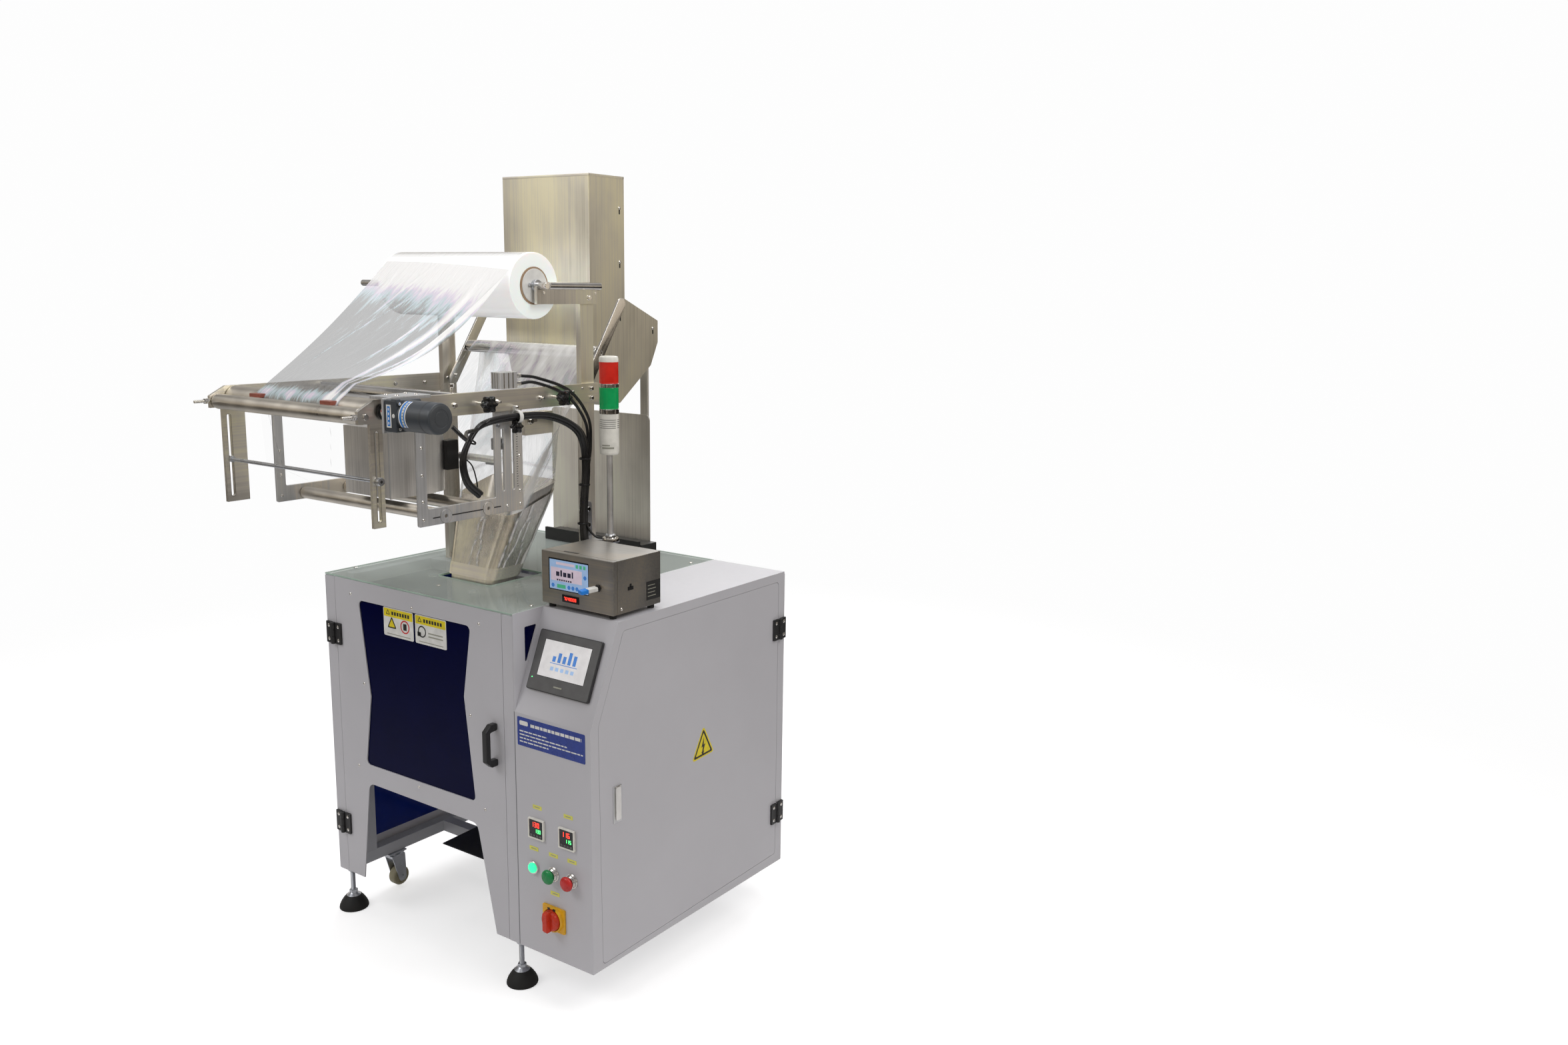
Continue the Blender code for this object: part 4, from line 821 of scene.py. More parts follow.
def door_details():
    kit = Kit("chrome")
    for x, z in RIVETS:
        kit.add(turned([(0, 0.0022), (0.0022, 0.0019), (0.0036, 0.0009), (0.0040, 0), (0, 0)],
                       (x, DOOR_FACE, z), "-Y", 20))
    kit.finish("door_rivets", "front_door_body", "bright_steel")

    kit = Kit("black")
    low, high = local_box("door_handle")
    foot, grip, bend = 0.0160, 0.0180, 0.0145
    profile = rounded([(-0.0004, low.z), (-0.0004, low.z + foot), (-0.0210, low.z + grip),
                       (-0.0210, high.z - grip), (-0.0004, high.z - foot), (-0.0004, high.z),
                       (-0.0180, high.z), (-0.0338, high.z - bend), (-0.0338, low.z + bend),
                       (-0.0180, low.z)][::-1], 0.0028)
    kit.add(sheet_metal("X", (low.x, high.x), [profile], 0.0022))
    middle = (low.x + high.x) / 2
    for z in (low.z + 0.008, high.z - 0.008):
        kit.paint("gloss_black").add(rod((middle, -0.0195, z), (middle, -0.0215, z), 0.0042, 20))
    kit.finish("door_pull", "front_door_body", "black_plastic", ["door_handle"])

    warning_sticker("door_sticker_left", (0.2155, 0.3225), (0.767, 0.8365), True)
    warning_sticker("door_sticker_right", (0.3290, 0.4370), (0.767, 0.8365), False)
    for name, z in (("lower", 0.245), ("upper", 0.741)):
        front_hinge(name, z)


def warning_sticker(name, x, z, with_ring):
    """A white label with a yellow heading, a triangle, and grey bars where a real one has its words."""
    face = GLASS_FACE
    kit = Kit("sticker")
    kit.add(panel("Y", (face - 0.0004, face), x, z, 0.004))
    top = z[1] - 0.0022
    heading = (face - 0.0006, face - 0.0003)
    kit.paint("sign_yellow").add(panel("Y", heading, inset(x, 0.002), (top - 0.0200, top), 0.002))
    layer = (face - 0.0008, face - 0.0005)
    kit.paint("ink")
    for i in range(7):
        left = x[0] + i * 0.0095
        kit.add(block((left + 0.030, left + 0.0365), layer, (top - 0.0145, top - 0.0060), 0.0001))
    kit.add(triangle_frame((x[0] + 0.017, top - 0.0105), 0.0085, 0.0016, layer))
    low = z[0] + 0.030
    if with_ring:
        kit.add(triangle_frame((x[0] + 0.030, low), 0.0190, 0.0030, layer))
        kit.paint("sign_yellow").add(triangle_plate((x[0] + 0.030, low), 0.0150, layer))
        centre = (x[1] - 0.030, low)
        outer, inner = circle(centre, 0.0160), circle(centre, 0.0130)
        kit.paint("red_ink").add(sheet_metal("Y", layer, [outer, inner], 0.0001))
        kit.paint("ink").add(block(about(centre[0], 0.006), layer, about(low, 0.008)))
    else:
        centre = (x[0] + 0.024, low)
        kit.add(sheet_metal("Y", layer, [circle(centre, 0.0140), circle(centre, 0.0110)], 0.0001))
        kit.add(block((x[0] + 0.008, x[0] + 0.020), layer, (low - 0.012, low - 0.002)))
        kit.paint("grey_ink")
        for drop in (0.0, 0.008):
            row = (low - 0.002 - drop, low + 0.001 - drop)
            kit.add(block((x[0] + 0.046, x[1] - 0.012), layer, row, 0.0001))
    kit.paint("grey_ink").add(block(inset(x, 0.012), layer, (z[0] + 0.0050, z[0] + 0.0068), 0.0001))
    kit.finish(name, "front_door_body")


def triangle_points(centre, size):
    return [(centre[0] + size * math.sin(a), centre[1] + size * math.cos(a))
            for a in (0, 2 * math.pi / 3, 4 * math.pi / 3)]


def triangle_frame(centre, size, width, layer):
    outer = rounded(triangle_points(centre, size), size * 0.12)
    inner = rounded(triangle_points(centre, size - 2 * width), size * 0.05)
    return sheet_metal("Y", layer, [outer, inner], 0.0001)


def triangle_plate(centre, size, layer):
    return sheet_metal("Y", layer, [rounded(triangle_points(centre, size), size * 0.05)], 0.0001)


def hinge_leaf(pin, z, normal, across, leaf, knuckle, screw, moving):
    """One leaf of a black hinge on an upright pin: its plate, its knuckles and its two screws.

    The fixed leaf holds the knuckles at both ends of the pin, the moving one the knuckle between them."""
    half = 0.027
    radius = 0.0060 if normal == "Y" else 0.0054
    kit = Kit("black_metal")
    kit.add(panel(normal, across, leaf, about(z, half + 0.0003), 0.0020, 0.0008))
    if moving:
        spans = [about(z, half / 3 - 0.0003)]
    else:
        spans = [(z + low, z + low + half * 2 / 3) for low in (-half, half / 3)]
    for span in spans:
        kit.add(rod((*pin, span[0]), (*pin, span[1]), radius, 24))
        kit.add(block(*knuckle, span))
    kit.paint("chrome")
    for dz in (-0.017, 0.017):
        kit.screw((*screw, z + dz), "-Y" if normal == "Y" else "X", 0.0042, 0.0014)
    return kit


def front_hinge(name, z):
    """A hinge of the front door: the fixed leaf stays, the door's leaf swings with it."""
    x, y = pin = (0.030, -0.0062)
    front = y + 0.0008
    plate, knuckle_y, screw_y = (front, -0.0001), (front, y + 0.0045), front + 0.0006
    kit = hinge_leaf(pin, z, "Y", plate, (x - 0.0276, x - 0.0070), ((x - 0.0075, x), knuckle_y),
                     (x - 0.0175, screw_y), False)
    kit.finish(f"front_hinge_{name}_fixed", "machine", "black_metal", [f"front_hinge_{name}"])
    kit = hinge_leaf(pin, z, "Y", plate, (x + 0.0070, x + 0.0276), ((x, x + 0.0085), knuckle_y),
                     (x + 0.0175, screw_y), True)
    kit.finish(f"front_hinge_{name}_door_leaf", "front_door_body", "black_metal")


def side_hinge(name, z):
    """A hinge of the side door, on its rear edge."""
    x, y = pin = (SIDE_FACE + 0.0057, 0.690)
    face = SIDE_FACE + 0.0056
    knuckle_x, screw_x = (SIDE_FACE + 0.0003, x), face - 0.0006
    kit = hinge_leaf(pin, z, "X", (SIDE_FACE, face), (y + 0.0062, 0.7132), (knuckle_x, (y, y + 0.0080)),
                     (screw_x, y + 0.0145), False)
    kit.finish(f"side_hinge_{name}_fixed", "machine", "black_metal", [f"side_hinge_{name}"])
    kit = hinge_leaf(pin, z, "X", (SIDE_FACE + 0.0002, face), (y - 0.0276, y - 0.0062),
                     (knuckle_x, (y - 0.0085, y)), (screw_x, y - 0.0175), True)
    kit.finish(f"side_hinge_{name}_door_leaf", "side_door_body", "black_metal")


def side_door_details():
    for name, z in (("lower", 0.252), ("upper", 0.745)):
        side_hinge(name, z)

    def layer(depth):
        """The door's face to a depth in front of it."""
        return SIDE_FACE, SIDE_FACE + depth

    kit = Kit("sign_yellow")
    corners = [(0.384, 0.574), (0.4235, 0.500), (0.3405, 0.495)]
    kit.add(sheet_metal("X", layer(0.0004), [rounded(corners, 0.005)], 0.0001))
    middle = Vector((sum(c[0] for c in corners) / 3, sum(c[1] for c in corners) / 3))
    outer = [tuple(middle + (Vector(c) - middle) * 0.86) for c in corners]
    inner = [tuple(middle + (Vector(c) - middle) * 0.68) for c in corners]
    kit.paint("ink")
    kit.add(sheet_metal("X", layer(0.0006), [rounded(outer, 0.003), rounded(inner, 0.002)], 0.0001))
    flash = [(0.0030, 0.0230), (-0.0070, -0.0010), (-0.0010, 0.0005), (-0.0045, -0.0130), (-0.0075, -0.0115),
             (-0.0015, -0.0220), (0.0035, -0.0095), (0.0000, -0.0115), (0.0075, 0.0060), (0.0015, 0.0045)]
    kit.add(sheet_metal("X", layer(0.0006), [[(middle[0] + u, middle[1] + v) for u, v in flash]], 0.0001))
    kit.finish("lightning_sign", "side_door_body")

    y, z = (0.0680, 0.0950), (0.4395, 0.5255)
    kit = Kit("aluminium")
    opening = rounded(rectangle(inset(y, 0.004), inset(z, 0.016)), 0.004)
    kit.add(sheet_metal("X", layer(0.0016), [rounded(rectangle(y, z), 0.002), opening], 0.0005))
    kit.paint("white").add(block((SIDE_FACE - 0.0012, SIDE_FACE + 0.0006), inset(y, 0.003), inset(z, 0.014)))
    kit.finish("latch_frame", "side_door_body", "zinc_steel")
    kit = Kit("chrome")
    across = (SIDE_FACE + 0.0018, SIDE_FACE + 0.0052)
    kit.add(panel("X", across, inset(y, 0.0055), (z[0] + 0.006, z[1] - 0.002), 0.004, 0.0014))
    pin_x, pin_z = SIDE_FACE + 0.0030, z[1] - 0.0017
    kit.add(rod((pin_x, y[0] + 0.003, pin_z), (pin_x, y[1] - 0.003, pin_z), 0.0012, 16))
    kit.finish("latch_paddle", "latch", "bright_steel", ["door_latch"])


# Control panel ------------------------------------------------------------------------------------

SLOPE_RUN = 0.092
SLOPE_RISE = 0.221
BUTTON_X = (0.768, 0.824)
BUTTON_Z = 0.316
SEGMENTS = {"0": "abcdef", "1": "bc", "2": "abged", "3": "abgcd", "4": "fgbc", "5": "afgcd", "6": "afgecd",
            "7": "abc", "8": "abcdefg", "9": "abcdfg"}


def digits(text, corner, height, layer, kit):
    """Seven segment digits, their lower left corner at (x, z)."""
    width, bar = height * 0.52, height * 0.12
    for place, mark in enumerate(text):
        x = corner[0] + place * width * 1.45
        z = corner[1]
        rows = {"d": z, "g": z + height / 2 - bar / 2, "a": z + height - bar}
        for name in SEGMENTS[mark]:
            if name in rows:
                span = (rows[name], rows[name] + bar)
                kit.add(block((x + bar * 0.4, x + width - bar * 0.4), layer, span, 0.0001))
            else:
                left = x if name in "fe" else x + width - bar
                low = z + (height / 2 if name in "fb" else 0)
                span = (low + bar * 0.3, low + height / 2 - bar * 0.1)
                kit.add(block((left, left + bar), layer, span, 0.0001))


def temperature_controller(name, x, z, readings):
    """A 48 mm panel controller: pale bezel, black face, a red and a green reading and four keys."""
    face = CONTROL_FACE
    half = 0.024
    kit = Kit("lamp_white")
    frame_loop = rounded(rectangle(about(x, half), about(z, half)), 0.0025)
    opening = rounded(rectangle(about(x, 0.0205), about(z, 0.0205)), 0.0015)
    kit.add(sheet_metal("Y", (face - 0.0062, face), [frame_loop, opening], 0.0012))
    kit.paint("gloss_black").add(block(about(x, 0.0207), (face - 0.0046, face), about(z, 0.0207)))
    layer = (face - 0.0052, face - 0.0045)
    kit.paint("red_led")
    digits(readings[0], (x - 0.0135, z + 0.0040), 0.0115, layer, kit)
    kit.paint("green_led")
    digits(readings[1], (x - 0.0030, z - 0.0085), 0.0085, layer, kit)
    kit.paint("bezel")
    for i in range(4):
        kit.add(block((x - 0.0175 + i * 0.0092, x - 0.0105 + i * 0.0092), (face - 0.0056, face - 0.0045),
                      (z - 0.0180, z - 0.0130), 0.0005))
    kit.finish(name, "machine")


def blue_plate():
    """A blue plate with plain bars of the length of words in place of its wording."""
    face = CONTROL_FACE
    kit = Kit("plate_blue")
    kit.add(panel("Y", (face - 0.0006, face), (0.665, 0.868), (0.594, 0.660), 0.003, 0.0002))
    layer = (face - 0.0008, face - 0.0005)
    kit.paint("sticker")
    kit.add(panel("Y", layer, (0.672, 0.698), (0.642, 0.652), 0.003))
    for start, end, z, height in ((0.706, 0.858, 0.6420, 0.0070), (0.672, 0.755, 0.6270, 0.0028),
                                  (0.672, 0.815, 0.6190, 0.0028), (0.672, 0.862, 0.6110, 0.0028),
                                  (0.672, 0.760, 0.6030, 0.0028)):
        x = start
        while x < end:
            word = 0.006 + 0.010 * CHANCE.random()
            kit.add(block((x, min(end, x + word)), layer, (z, z + height), 0.0001))
            x += word + 0.0022
    kit.finish("blue_plate", "machine")


def control_details():
    face = CONTROL_FACE
    blue_plate()
    temperature_controller("controller_left", 0.720, 0.410, ("130", "130"))
    temperature_controller("controller_right", 0.8125, 0.411, ("116", "115"))
    kit = Kit("tag_yellow")
    marks = ((0.721, 0.460), (0.815, 0.462), (0.708, 0.360), (0.768, 0.360), (0.824, 0.361), (0.771, 0.270))
    for x, z in marks:
        tag = rectangle(about(x, 0.0135), about(z, 0.0045))
        kit.paint("tag_yellow").add(sheet_metal("Y", (face - 0.0005, face), [tag], 0.0001))
        kit.paint("grey_ink")
        kit.add(block(about(x, 0.008), (face - 0.0007, face - 0.0004), about(z, 0.0011), 0.0001))
    kit.finish("panel_tags", "machine")
    panel_buttons()
    main_switch()
    operator_screen()
    housing_gap_shadow_and_panes()


def panel_buttons():
    """The lit pilot lamp, and the green and the red mushroom button with their rings."""
    face = CONTROL_FACE
    kit = Kit("chrome")
    x, z = 0.708, BUTTON_Z
    kit.add(ring((x, face, z), (x, face - 0.0060, z), 0.0150, 0.0118))
    lens = [(0, 0.0130), (0.006, 0.0124), (0.0105, 0.0096), (0.0120, 0.0050), (0.0120, 0), (0, 0)]
    kit.paint("pilot").add(turned(lens, (x, face, z), "-Y", 32))
    kit.finish("pilot_lamp", "machine")
    kit = Kit("chrome")
    for x in BUTTON_X:
        for near, far, outer, inner in ((0.0, 0.0085, 0.0150, 0.0104), (0.0, 0.0030, 0.0168, 0.0140),
                                        (0.0086, 0.0110, 0.0130, 0.0104)):
            kit.add(ring((x, face - near, BUTTON_Z), (x, face - far, BUTTON_Z), outer, inner))
    kit.finish("button_rings", "machine", "bright_steel")
    cap = [(0, 0.0260), (0.006, 0.0257), (0.0115, 0.0248), (0.0150, 0.0228), (0.0165, 0.0200),
           (0.0167, 0.0180), (0.0160, 0.0163), (0.0110, 0.0160), (0, 0.0160)]
    for x, name, colour in zip(BUTTON_X, ("start", "stop"), ("green", "red")):
        kit = Kit(colour)
        kit.add(turned(cap, (x, face - 0.0003, BUTTON_Z), "-Y", 48))
        kit.paint("chrome")
        kit.add(rod((x, face - 0.0083, BUTTON_Z), (x, face - 0.0164, BUTTON_Z), 0.0093))
        kit.finish(f"{name}_cap", name, f"{colour}_plastic", [f"{name}_button"])


def main_switch():
    x, z = 0.769, 0.211
    kit = Kit("yellow")
    kit.add(panel("Y", (-0.0049, 0), (0.7355, 0.8025), about(z, 0.0290), 0.003, 0.0010))
    kit.add(turned([(0.0285, 0.0102), (0.0265, 0.0112), (0.0252, 0.0104), (0.0252, 0.0044), (0.0300, 0.0044),
                    (0.0285, 0.0102)], (x, 0, z), "-Y", 48))
    kit.paint("ink")
    for a in (-0.35, 0.35):
        cx, cz = x + 0.0235 * math.sin(a), z + 0.0235 * math.cos(a)
        kit.add(block(about(cx, 0.0035), (-0.0117, -0.0100), (cz + 0.0006, cz + 0.0060), 0.0004))
    kit.finish("switch_plate", "machine")
    kit = Kit("switch_red")
    kit.add(turned([(0, 0.0222), (0.0190, 0.0215), (0.0222, 0.0195), (0.0238, 0.0150), (0.0246, 0.0050),
                    (0, 0.0050)], (x, 0, z), "-Y", 48))
    grip = rounded([(-0.0225, -0.0110), (0.0225, -0.0110), (0.0225, -0.0300), (0.0170, -0.0338),
                    (-0.0230, -0.0338), (-0.0262, -0.0260)], 0.0030)
    kit.add(sheet_metal("X", about(x, 0.0062), [[(v, z - u) for u, v in grip]], 0.0015))
    kit.finish("switch_grip", "main_switch", "red_plastic", ["switch_knob"])


def slope_matrix():
    """Machine placement of the operator screen drawn flat: X across, Y up the slope, Z out of it."""
    low, high = local_box("hmi_panel")
    up = Vector((0, SLOPE_RUN, SLOPE_RISE)).normalized()
    out = Vector((1, 0, 0)).cross(up)
    back = (low + high) / 2 - out * 0.0043
    return Matrix.Translation(back) @ Matrix((Vector((1, 0, 0)), up, out)).transposed().to_4x4()


def operator_screen():
    """A panel with a dark grey bezel that shows a plain chart of upright bars over a row of squares."""
    at = slope_matrix()
    kit = Kit("bezel_rim")
    kit.add(panel("Z", (0.0003, 0.0076), (-0.0920, 0.0920), (-0.0670, 0.0670), 0.0050, 0.0012), matrix=at)
    kit.paint("bezel")
    kit.add(panel("Z", (0.0070, 0.0083), (-0.0900, 0.0900), (-0.0650, 0.0650), 0.0042, 0.0006), matrix=at)
    kit.paint("gloss_black")
    kit.add(panel("Z", (0.0080, 0.0085), (-0.0695, 0.0695), (-0.0340, 0.0480), 0.001), matrix=at)
    kit.paint("screen").add(block((-0.0685, 0.0685), (-0.0330, 0.0470), (0.0080, 0.0087), 0.0002), matrix=at)
    layer = (0.0085, 0.0089)
    columns = [(-0.0350 + i * 0.0150, -0.0260 + i * 0.0150) for i in range(5)]
    kit.paint("screen_blue")
    for column, height in zip(columns, (0.012, 0.021, 0.016, 0.027, 0.022)):
        kit.add(block(column, (0.0020, 0.0020 + height), layer, 0.0001), matrix=at)
    kit.add(block((-0.0400, 0.0400), (-0.0020, -0.0006), layer, 0.0001), matrix=at)
    kit.paint("screen_pale_blue")
    for column in columns:
        kit.add(block(column, (-0.0170, -0.0090), layer, 0.0001), matrix=at)
    kit.paint("green_led")
    kit.add(sheet_metal("Z", layer, [circle((-0.0805, -0.0400), 0.0013, 12)], 0.0001), matrix=at)
    kit.paint("grey_ink").add(block((-0.012, 0.012), (-0.0520, -0.0490), layer, 0.0001), matrix=at)
    kit.finish("operator_screen", "machine", "dark_bezel", ["hmi_panel"])


def housing_gap_shadow_and_panes():
    """A dark strip painted as the shadow in the gap between housing and cabinet, the small window beside the
    screen and the left wall's window.
    """
    # The strip lies on the surface along the gap as a painted shadow.
    kit = Kit("seam")
    seam_x = local_box("control_housing")[0].x
    kit.add(block((seam_x - 0.0013, seam_x + 0.0009), (-0.0003, 0.0012), (0.113, 0.668), 0.0001))
    kit.finish("housing_gap_shadow", "machine")
    kit = Kit("navy")
    triangle = rounded([(0.0300, 0.740), (0.0760, 0.858), (0.0300, 0.858)], 0.002)
    kit.add(sheet_metal("X", (0.6522, 0.6556), [triangle], 0.0002))
    kit.finish("inner_window", "machine", "tinted_acrylic")
    kit = Kit("side_blue")
    kit.add(block((0.0024, 0.0034), (0.095, 0.645), (0.160, 0.872), 0.0003))
    kit.finish("left_window_pane", "machine", "tinted_acrylic")


# Undercarriage ------------------------------------------------------------------------------------

def undercarriage():
    for node in ("foot_front_left", "foot_front_right", "foot_rear_left", "foot_rear_right"):
        x, y, _ = local_centre(node)
        kit = Kit("rubber")
        kit.add(turned([(0, 0.0335), (0.0185, 0.0335), (0.0210, 0.0310), (0.0265, 0.0245), (0.0325, 0.0150),
                        (0.0358, 0.0070), (0.0365, 0.0020), (0.0358, 0.0), (0, 0)], (x, y, 0), "Z", 48))
        kit.paint("zinc").add(turned([(0, 0.0410), (0.0090, 0.0405), (0.0120, 0.0375), (0.0175, 0.0340),
                                      (0.0185, 0.0330), (0, 0.0330)], (x, y, 0), "Z", 40))
        kit.add(rod((x, y, 0.0400), (x, y, 0.0480), 0.0105, 6, 0.0008))
        kit.add(rod((x, y, 0.0980), (x, y, 0.1060), 0.0105, 6, 0.0008))
        stem = thread(0.0470, 0.1077, 30, (0.1077 - 0.0470) / 30, 0.0053, 0.0060)
        kit.add(turned(stem[::-1], (x, y, 0), "Z", 20))
        kit.finish(node.replace("foot", "levelling_foot"), "machine", "foot_rubber", [node])
    for side in ("left", "right"):
        caster(side)


def caster(side):
    wheel_low, wheel_high = local_box(f"caster_wheel_{side}")
    axle = (wheel_low + wheel_high) / 2
    x, y = axle.x, axle.y - 0.016
    kit = Kit("zinc")
    kit.add(turned([(0.0225, 0.1035), (0.0235, 0.1015), (0.0205, 0.0975), (0.0150, 0.0945), (0, 0.0945),
                    (0, 0.1035), (0.0225, 0.1035)], (x, y, 0), "Z", 40))
    kit.add(block(about(x, 0.0172), (y - 0.016, axle.y + 0.010), (0.0893, 0.0962), 0.0015))
    for end in (-1, 1):
        span = sorted((x + end * 0.0143, x + end * 0.0171))
        cheek = [(y - 0.0145, 0.0930), (axle.y - 0.0120, axle.z - 0.0040), (axle.y - 0.006, axle.z - 0.0120),
                 (axle.y + 0.006, axle.z - 0.0120), (axle.y + 0.0120, axle.z - 0.0040),
                 (axle.y + 0.0100, 0.0930)]
        kit.add(sheet_metal("X", span, [rounded(cheek, 0.003)], 0.0007))
        tip = axle + Vector((end * 0.0172, 0, 0))
        kit.hex_bolt(tip, "X" if end > 0 else "-X", 0.0045, 0.0030)
    kit.add(rod((x - 0.015, axle.y, axle.z), (x + 0.015, axle.y, axle.z), 0.004))
    kit.finish(f"caster_{side}_bracket", f"caster_{side}", "zinc_steel", [f"caster_fork_{side}"])
    kit = Kit("zinc")
    kit.add(block(about(x, 0.022), about(y, 0.028), (0.1037, 0.1077), 0.0012))
    for dx in (-0.015, 0.015):
        for dy in (-0.021, 0.021):
            kit.hex_bolt((x + dx, y + dy, 0.1036), "-Z", 0.0035, 0.0025)
    kit.finish(f"caster_{side}_plate", "machine", "zinc_steel")
    radius = wheel_high.z - axle.z
    width = (wheel_high.x - wheel_low.x) / 2
    kit = Kit("cream")
    tread = [(0.0046, width), (0.0100, width), (0.0110, width - 0.002), (radius - 0.008, width - 0.0025),
             (radius - 0.0065, width), (radius - 0.002, width - 0.0008), (radius, width - 0.0035)]
    tread += [(r, -h) for r, h in reversed(tread)]
    kit.add(turned([*tread, tread[0]], axle, "X", 56))
    kit.finish(f"caster_{side}_tyre", f"wheel_{side}", "cream_nylon", [f"caster_wheel_{side}"])


# Film rack ----------------------------------------------------------------------------------------

RIGHT_FACE = 0.595
RIGHT_FRAME_FACE = 0.5868
BEARER_Z = 1.344
IDLER_Z = 1.1135
LEFT_PLATE = (0.087, 0.095)


def roller_shape(node):
    """(y, z, radius) of a roller's drum and its left and right end."""
    low, high = local_box(node)
    return (low.y + high.y) / 2, (low.z + high.z) / 2, (high.z - low.z) / 2, low.x, high.x


def drum(kit, x, y, z, radius, material):
    """A ground roller with a shallow turned lip at each end."""
    length = x[1] - x[0]
    lip = 0.004
    low = radius - 0.0006
    profile = [(0, 0), (radius - 0.0020, 0), (low, 0.0008), (low, lip), (radius, lip + 0.0006),
               (radius, length - lip - 0.0006), (low, length - lip), (low, length - 0.0008),
               (radius - 0.0020, length), (0, length)]
    kit.paint(material).add(turned(profile, (x[0], y, z), "X", 64))


def rollers():
    for node, body, material, drum_x, journal in (
            ("nip_roller", "nip", "roller_steel", (0.097, 0.585), 0.0040),
            ("drive_roller", "drive", "roller_steel", (0.097, 0.585), 0.0060),
            ("idler_front", "idler_1", "roller_steel", (0.103, 0.579), 0.0040),
            ("idler_rear", "idler_2", "roller_steel", (0.103, 0.579), 0.0040),
            ("top_roller", "top", "chrome", (0.1168, 0.5652), 0.0040)):
        y, z, radius, left, right = roller_shape(node)
        kit = Kit(material)
        drum(kit, drum_x, y, z, radius, material)
        kit.paint("chrome").add(rod((left, y, z), (right, y, z), journal))
        if node == "drive_roller":
            coupling(kit, y, z)
        kit.finish(node + "_drum", body, "bright_steel", [node])
    y, z, radius, left, right = roller_shape("dancer_rod")
    kit = Kit("zinc")
    kit.add(rod((left, y, z), (right, y, z), radius))
    for x, direction in ((0.0955, 1), (0.5865, -1)):
        kit.add(ring((x, y, z), (x + direction * 0.006, y, z), 0.0068, 0.0038))
    kit.add(rod((RIGHT_FACE + 0.0003, y, z), (RIGHT_FACE + 0.0100, y, z), 0.0085, 32, 0.0010))
    kit.add(rod((LEFT_PLATE[0] - 0.0003, y, z), (LEFT_PLATE[0] - 0.0060, y, z), 0.0070, 32, 0.0010))
    kit.paint("ink").add(rod((RIGHT_FACE + 0.0092, y, z), (RIGHT_FACE + 0.0103, y, z), 0.0032, 6, 0.0001))
    kit.finish("dancer_bar", "dancer", "bright_steel", ["dancer_rod"])


def coupling(kit, y, z):
    """The motor coupling: a dark ring, a white sleeve with red marks and a bright hub."""
    kit.paint("black").add(ring((0.5955, y, z), (0.6010, y, z), 0.0160, 0.006))
    kit.paint("chrome").add(rod((0.6010, y, z), (0.6085, y, z), 0.0125))
    kit.paint("white").add(rod((0.6085, y, z), (0.6300, y, z), 0.0150, 40, 0.001))
    kit.paint("red_ink")
    for a in (-2.4, -1.2, 0.2, 2.9):
        cy, cz = y + 0.0147 * math.cos(a), z + 0.0147 * math.sin(a)
        kit.add(block((0.6110, 0.6150), about(cy, 0.0020), about(cz, 0.0020), 0.0005))
        kit.add(block((0.6210, 0.6260), about(cy, 0.0015), about(cz, 0.0020), 0.0005))
    kit.paint("chrome").add(rod((0.6300, y, z), (0.6375, y, z), 0.0135))


def film_roll_details():
    low, high = local_box("film_roll")
    y, z = (low.y + high.y) / 2, (low.z + high.z) / 2
    radius = (high.z - low.z) / 2
    left, right = low.x, high.x
    core, plug = 0.0415, 0.0375
    kit = Kit("wound_film")
    kit.add(turned([(radius - 0.0008, 0), (radius, 0.0010), (radius, right - left - 0.0010),
                    (radius - 0.0008, right - left)], (left, y, z), "X", 128))
    length = right - left
    plug_face = ((plug, -0.004), (plug, 0.0030), (plug - 0.0015, 0.0042), (0.009, 0.0042), (0.0078, 0.0030))
    for material, profile, steps in (
            ("wound_film_end", ((core, -0.0006), (core + 0.006, 0.0), (radius - 0.0008, 0.0)), 128),
            ("card", ((core, -0.006), (core, 0.0020), (plug, 0.0020), (plug, -0.006)), 96),
            ("white", plug_face, 80)):
        kit.paint(material)
        for end, side in ((0.0, -1), (length, 1)):
            kit.add(turned([(r, end + side * out) for r, out in profile], (left, y, z), "X", steps))
    kit.finish("wound_roll", "roll", "film_plastic", ["film_roll"])

    shaft_low, shaft_high = local_box("roll_shaft")
    kit = Kit("chrome")
    kit.add(rod((shaft_low.x, y, z), (shaft_high.x, y, z), 0.0075, 48, 0.0010))
    for x, side in ((right + 0.0045, 1), (left - 0.0045, -1)):
        kit.paint("zinc").add(ring((x, y, z), (x + side * 0.0085, y, z), 0.0135, 0.0074))
        screw_x = x + side * 0.0042
        kit.add(rod((screw_x, y - 0.0132, z + 0.002), (screw_x, y - 0.0215, z + 0.003), 0.0034, 20))
    kit.finish("roll_bar", "roll", "bright_steel", ["roll_shaft"])


def dress_rack():
    for node in ("side_plate_left", "side_plate_right"):
        dress(node, "steel_y", 0.0007)
    for node in ("post_left", "post_right"):
        dress(node, "steel_z", 0.0006)
    for node in ("roller_arm_left", "roller_arm_right"):
        dress(node, "chrome", 0.0008)
    for node in ("l_frame_left", "l_frame_right"):
        dress(node, "aluminium", 0.0010)
    dress("coder_head", "coder_steel", 0.0006)
    dress("back_plate", "plate_steel", 0.0006)
    dress("infeed_hood", "hood_steel", 0.0006)


def star_knob(name, body, node, y, z):
    """A black star grip with six lobes on a bright stud in the right bearer."""
    tip = local_box(node)[1].x
    base = RIGHT_FACE + 0.020
    kit = Kit("gloss_black")
    outline = star_outline(y, z, 0.0160, 0.0030, 96)
    kit.add(sheet_metal("X", (base + 0.006, tip - 0.0015), [outline], 0.0042))
    kit.add(turned([(0, 0.0250), (0.006, 0.0248), (0.0095, 0.0235), (0.0100, 0), (0, 0)],
                   (tip - 0.0255, y, z), "X", 32))
    kit.paint("chrome").add(rod((RIGHT_FACE + 0.0003, y, z), (base + 0.008, y, z), 0.0040, 24))
    kit.finish(name, body, "black_plastic", [node])


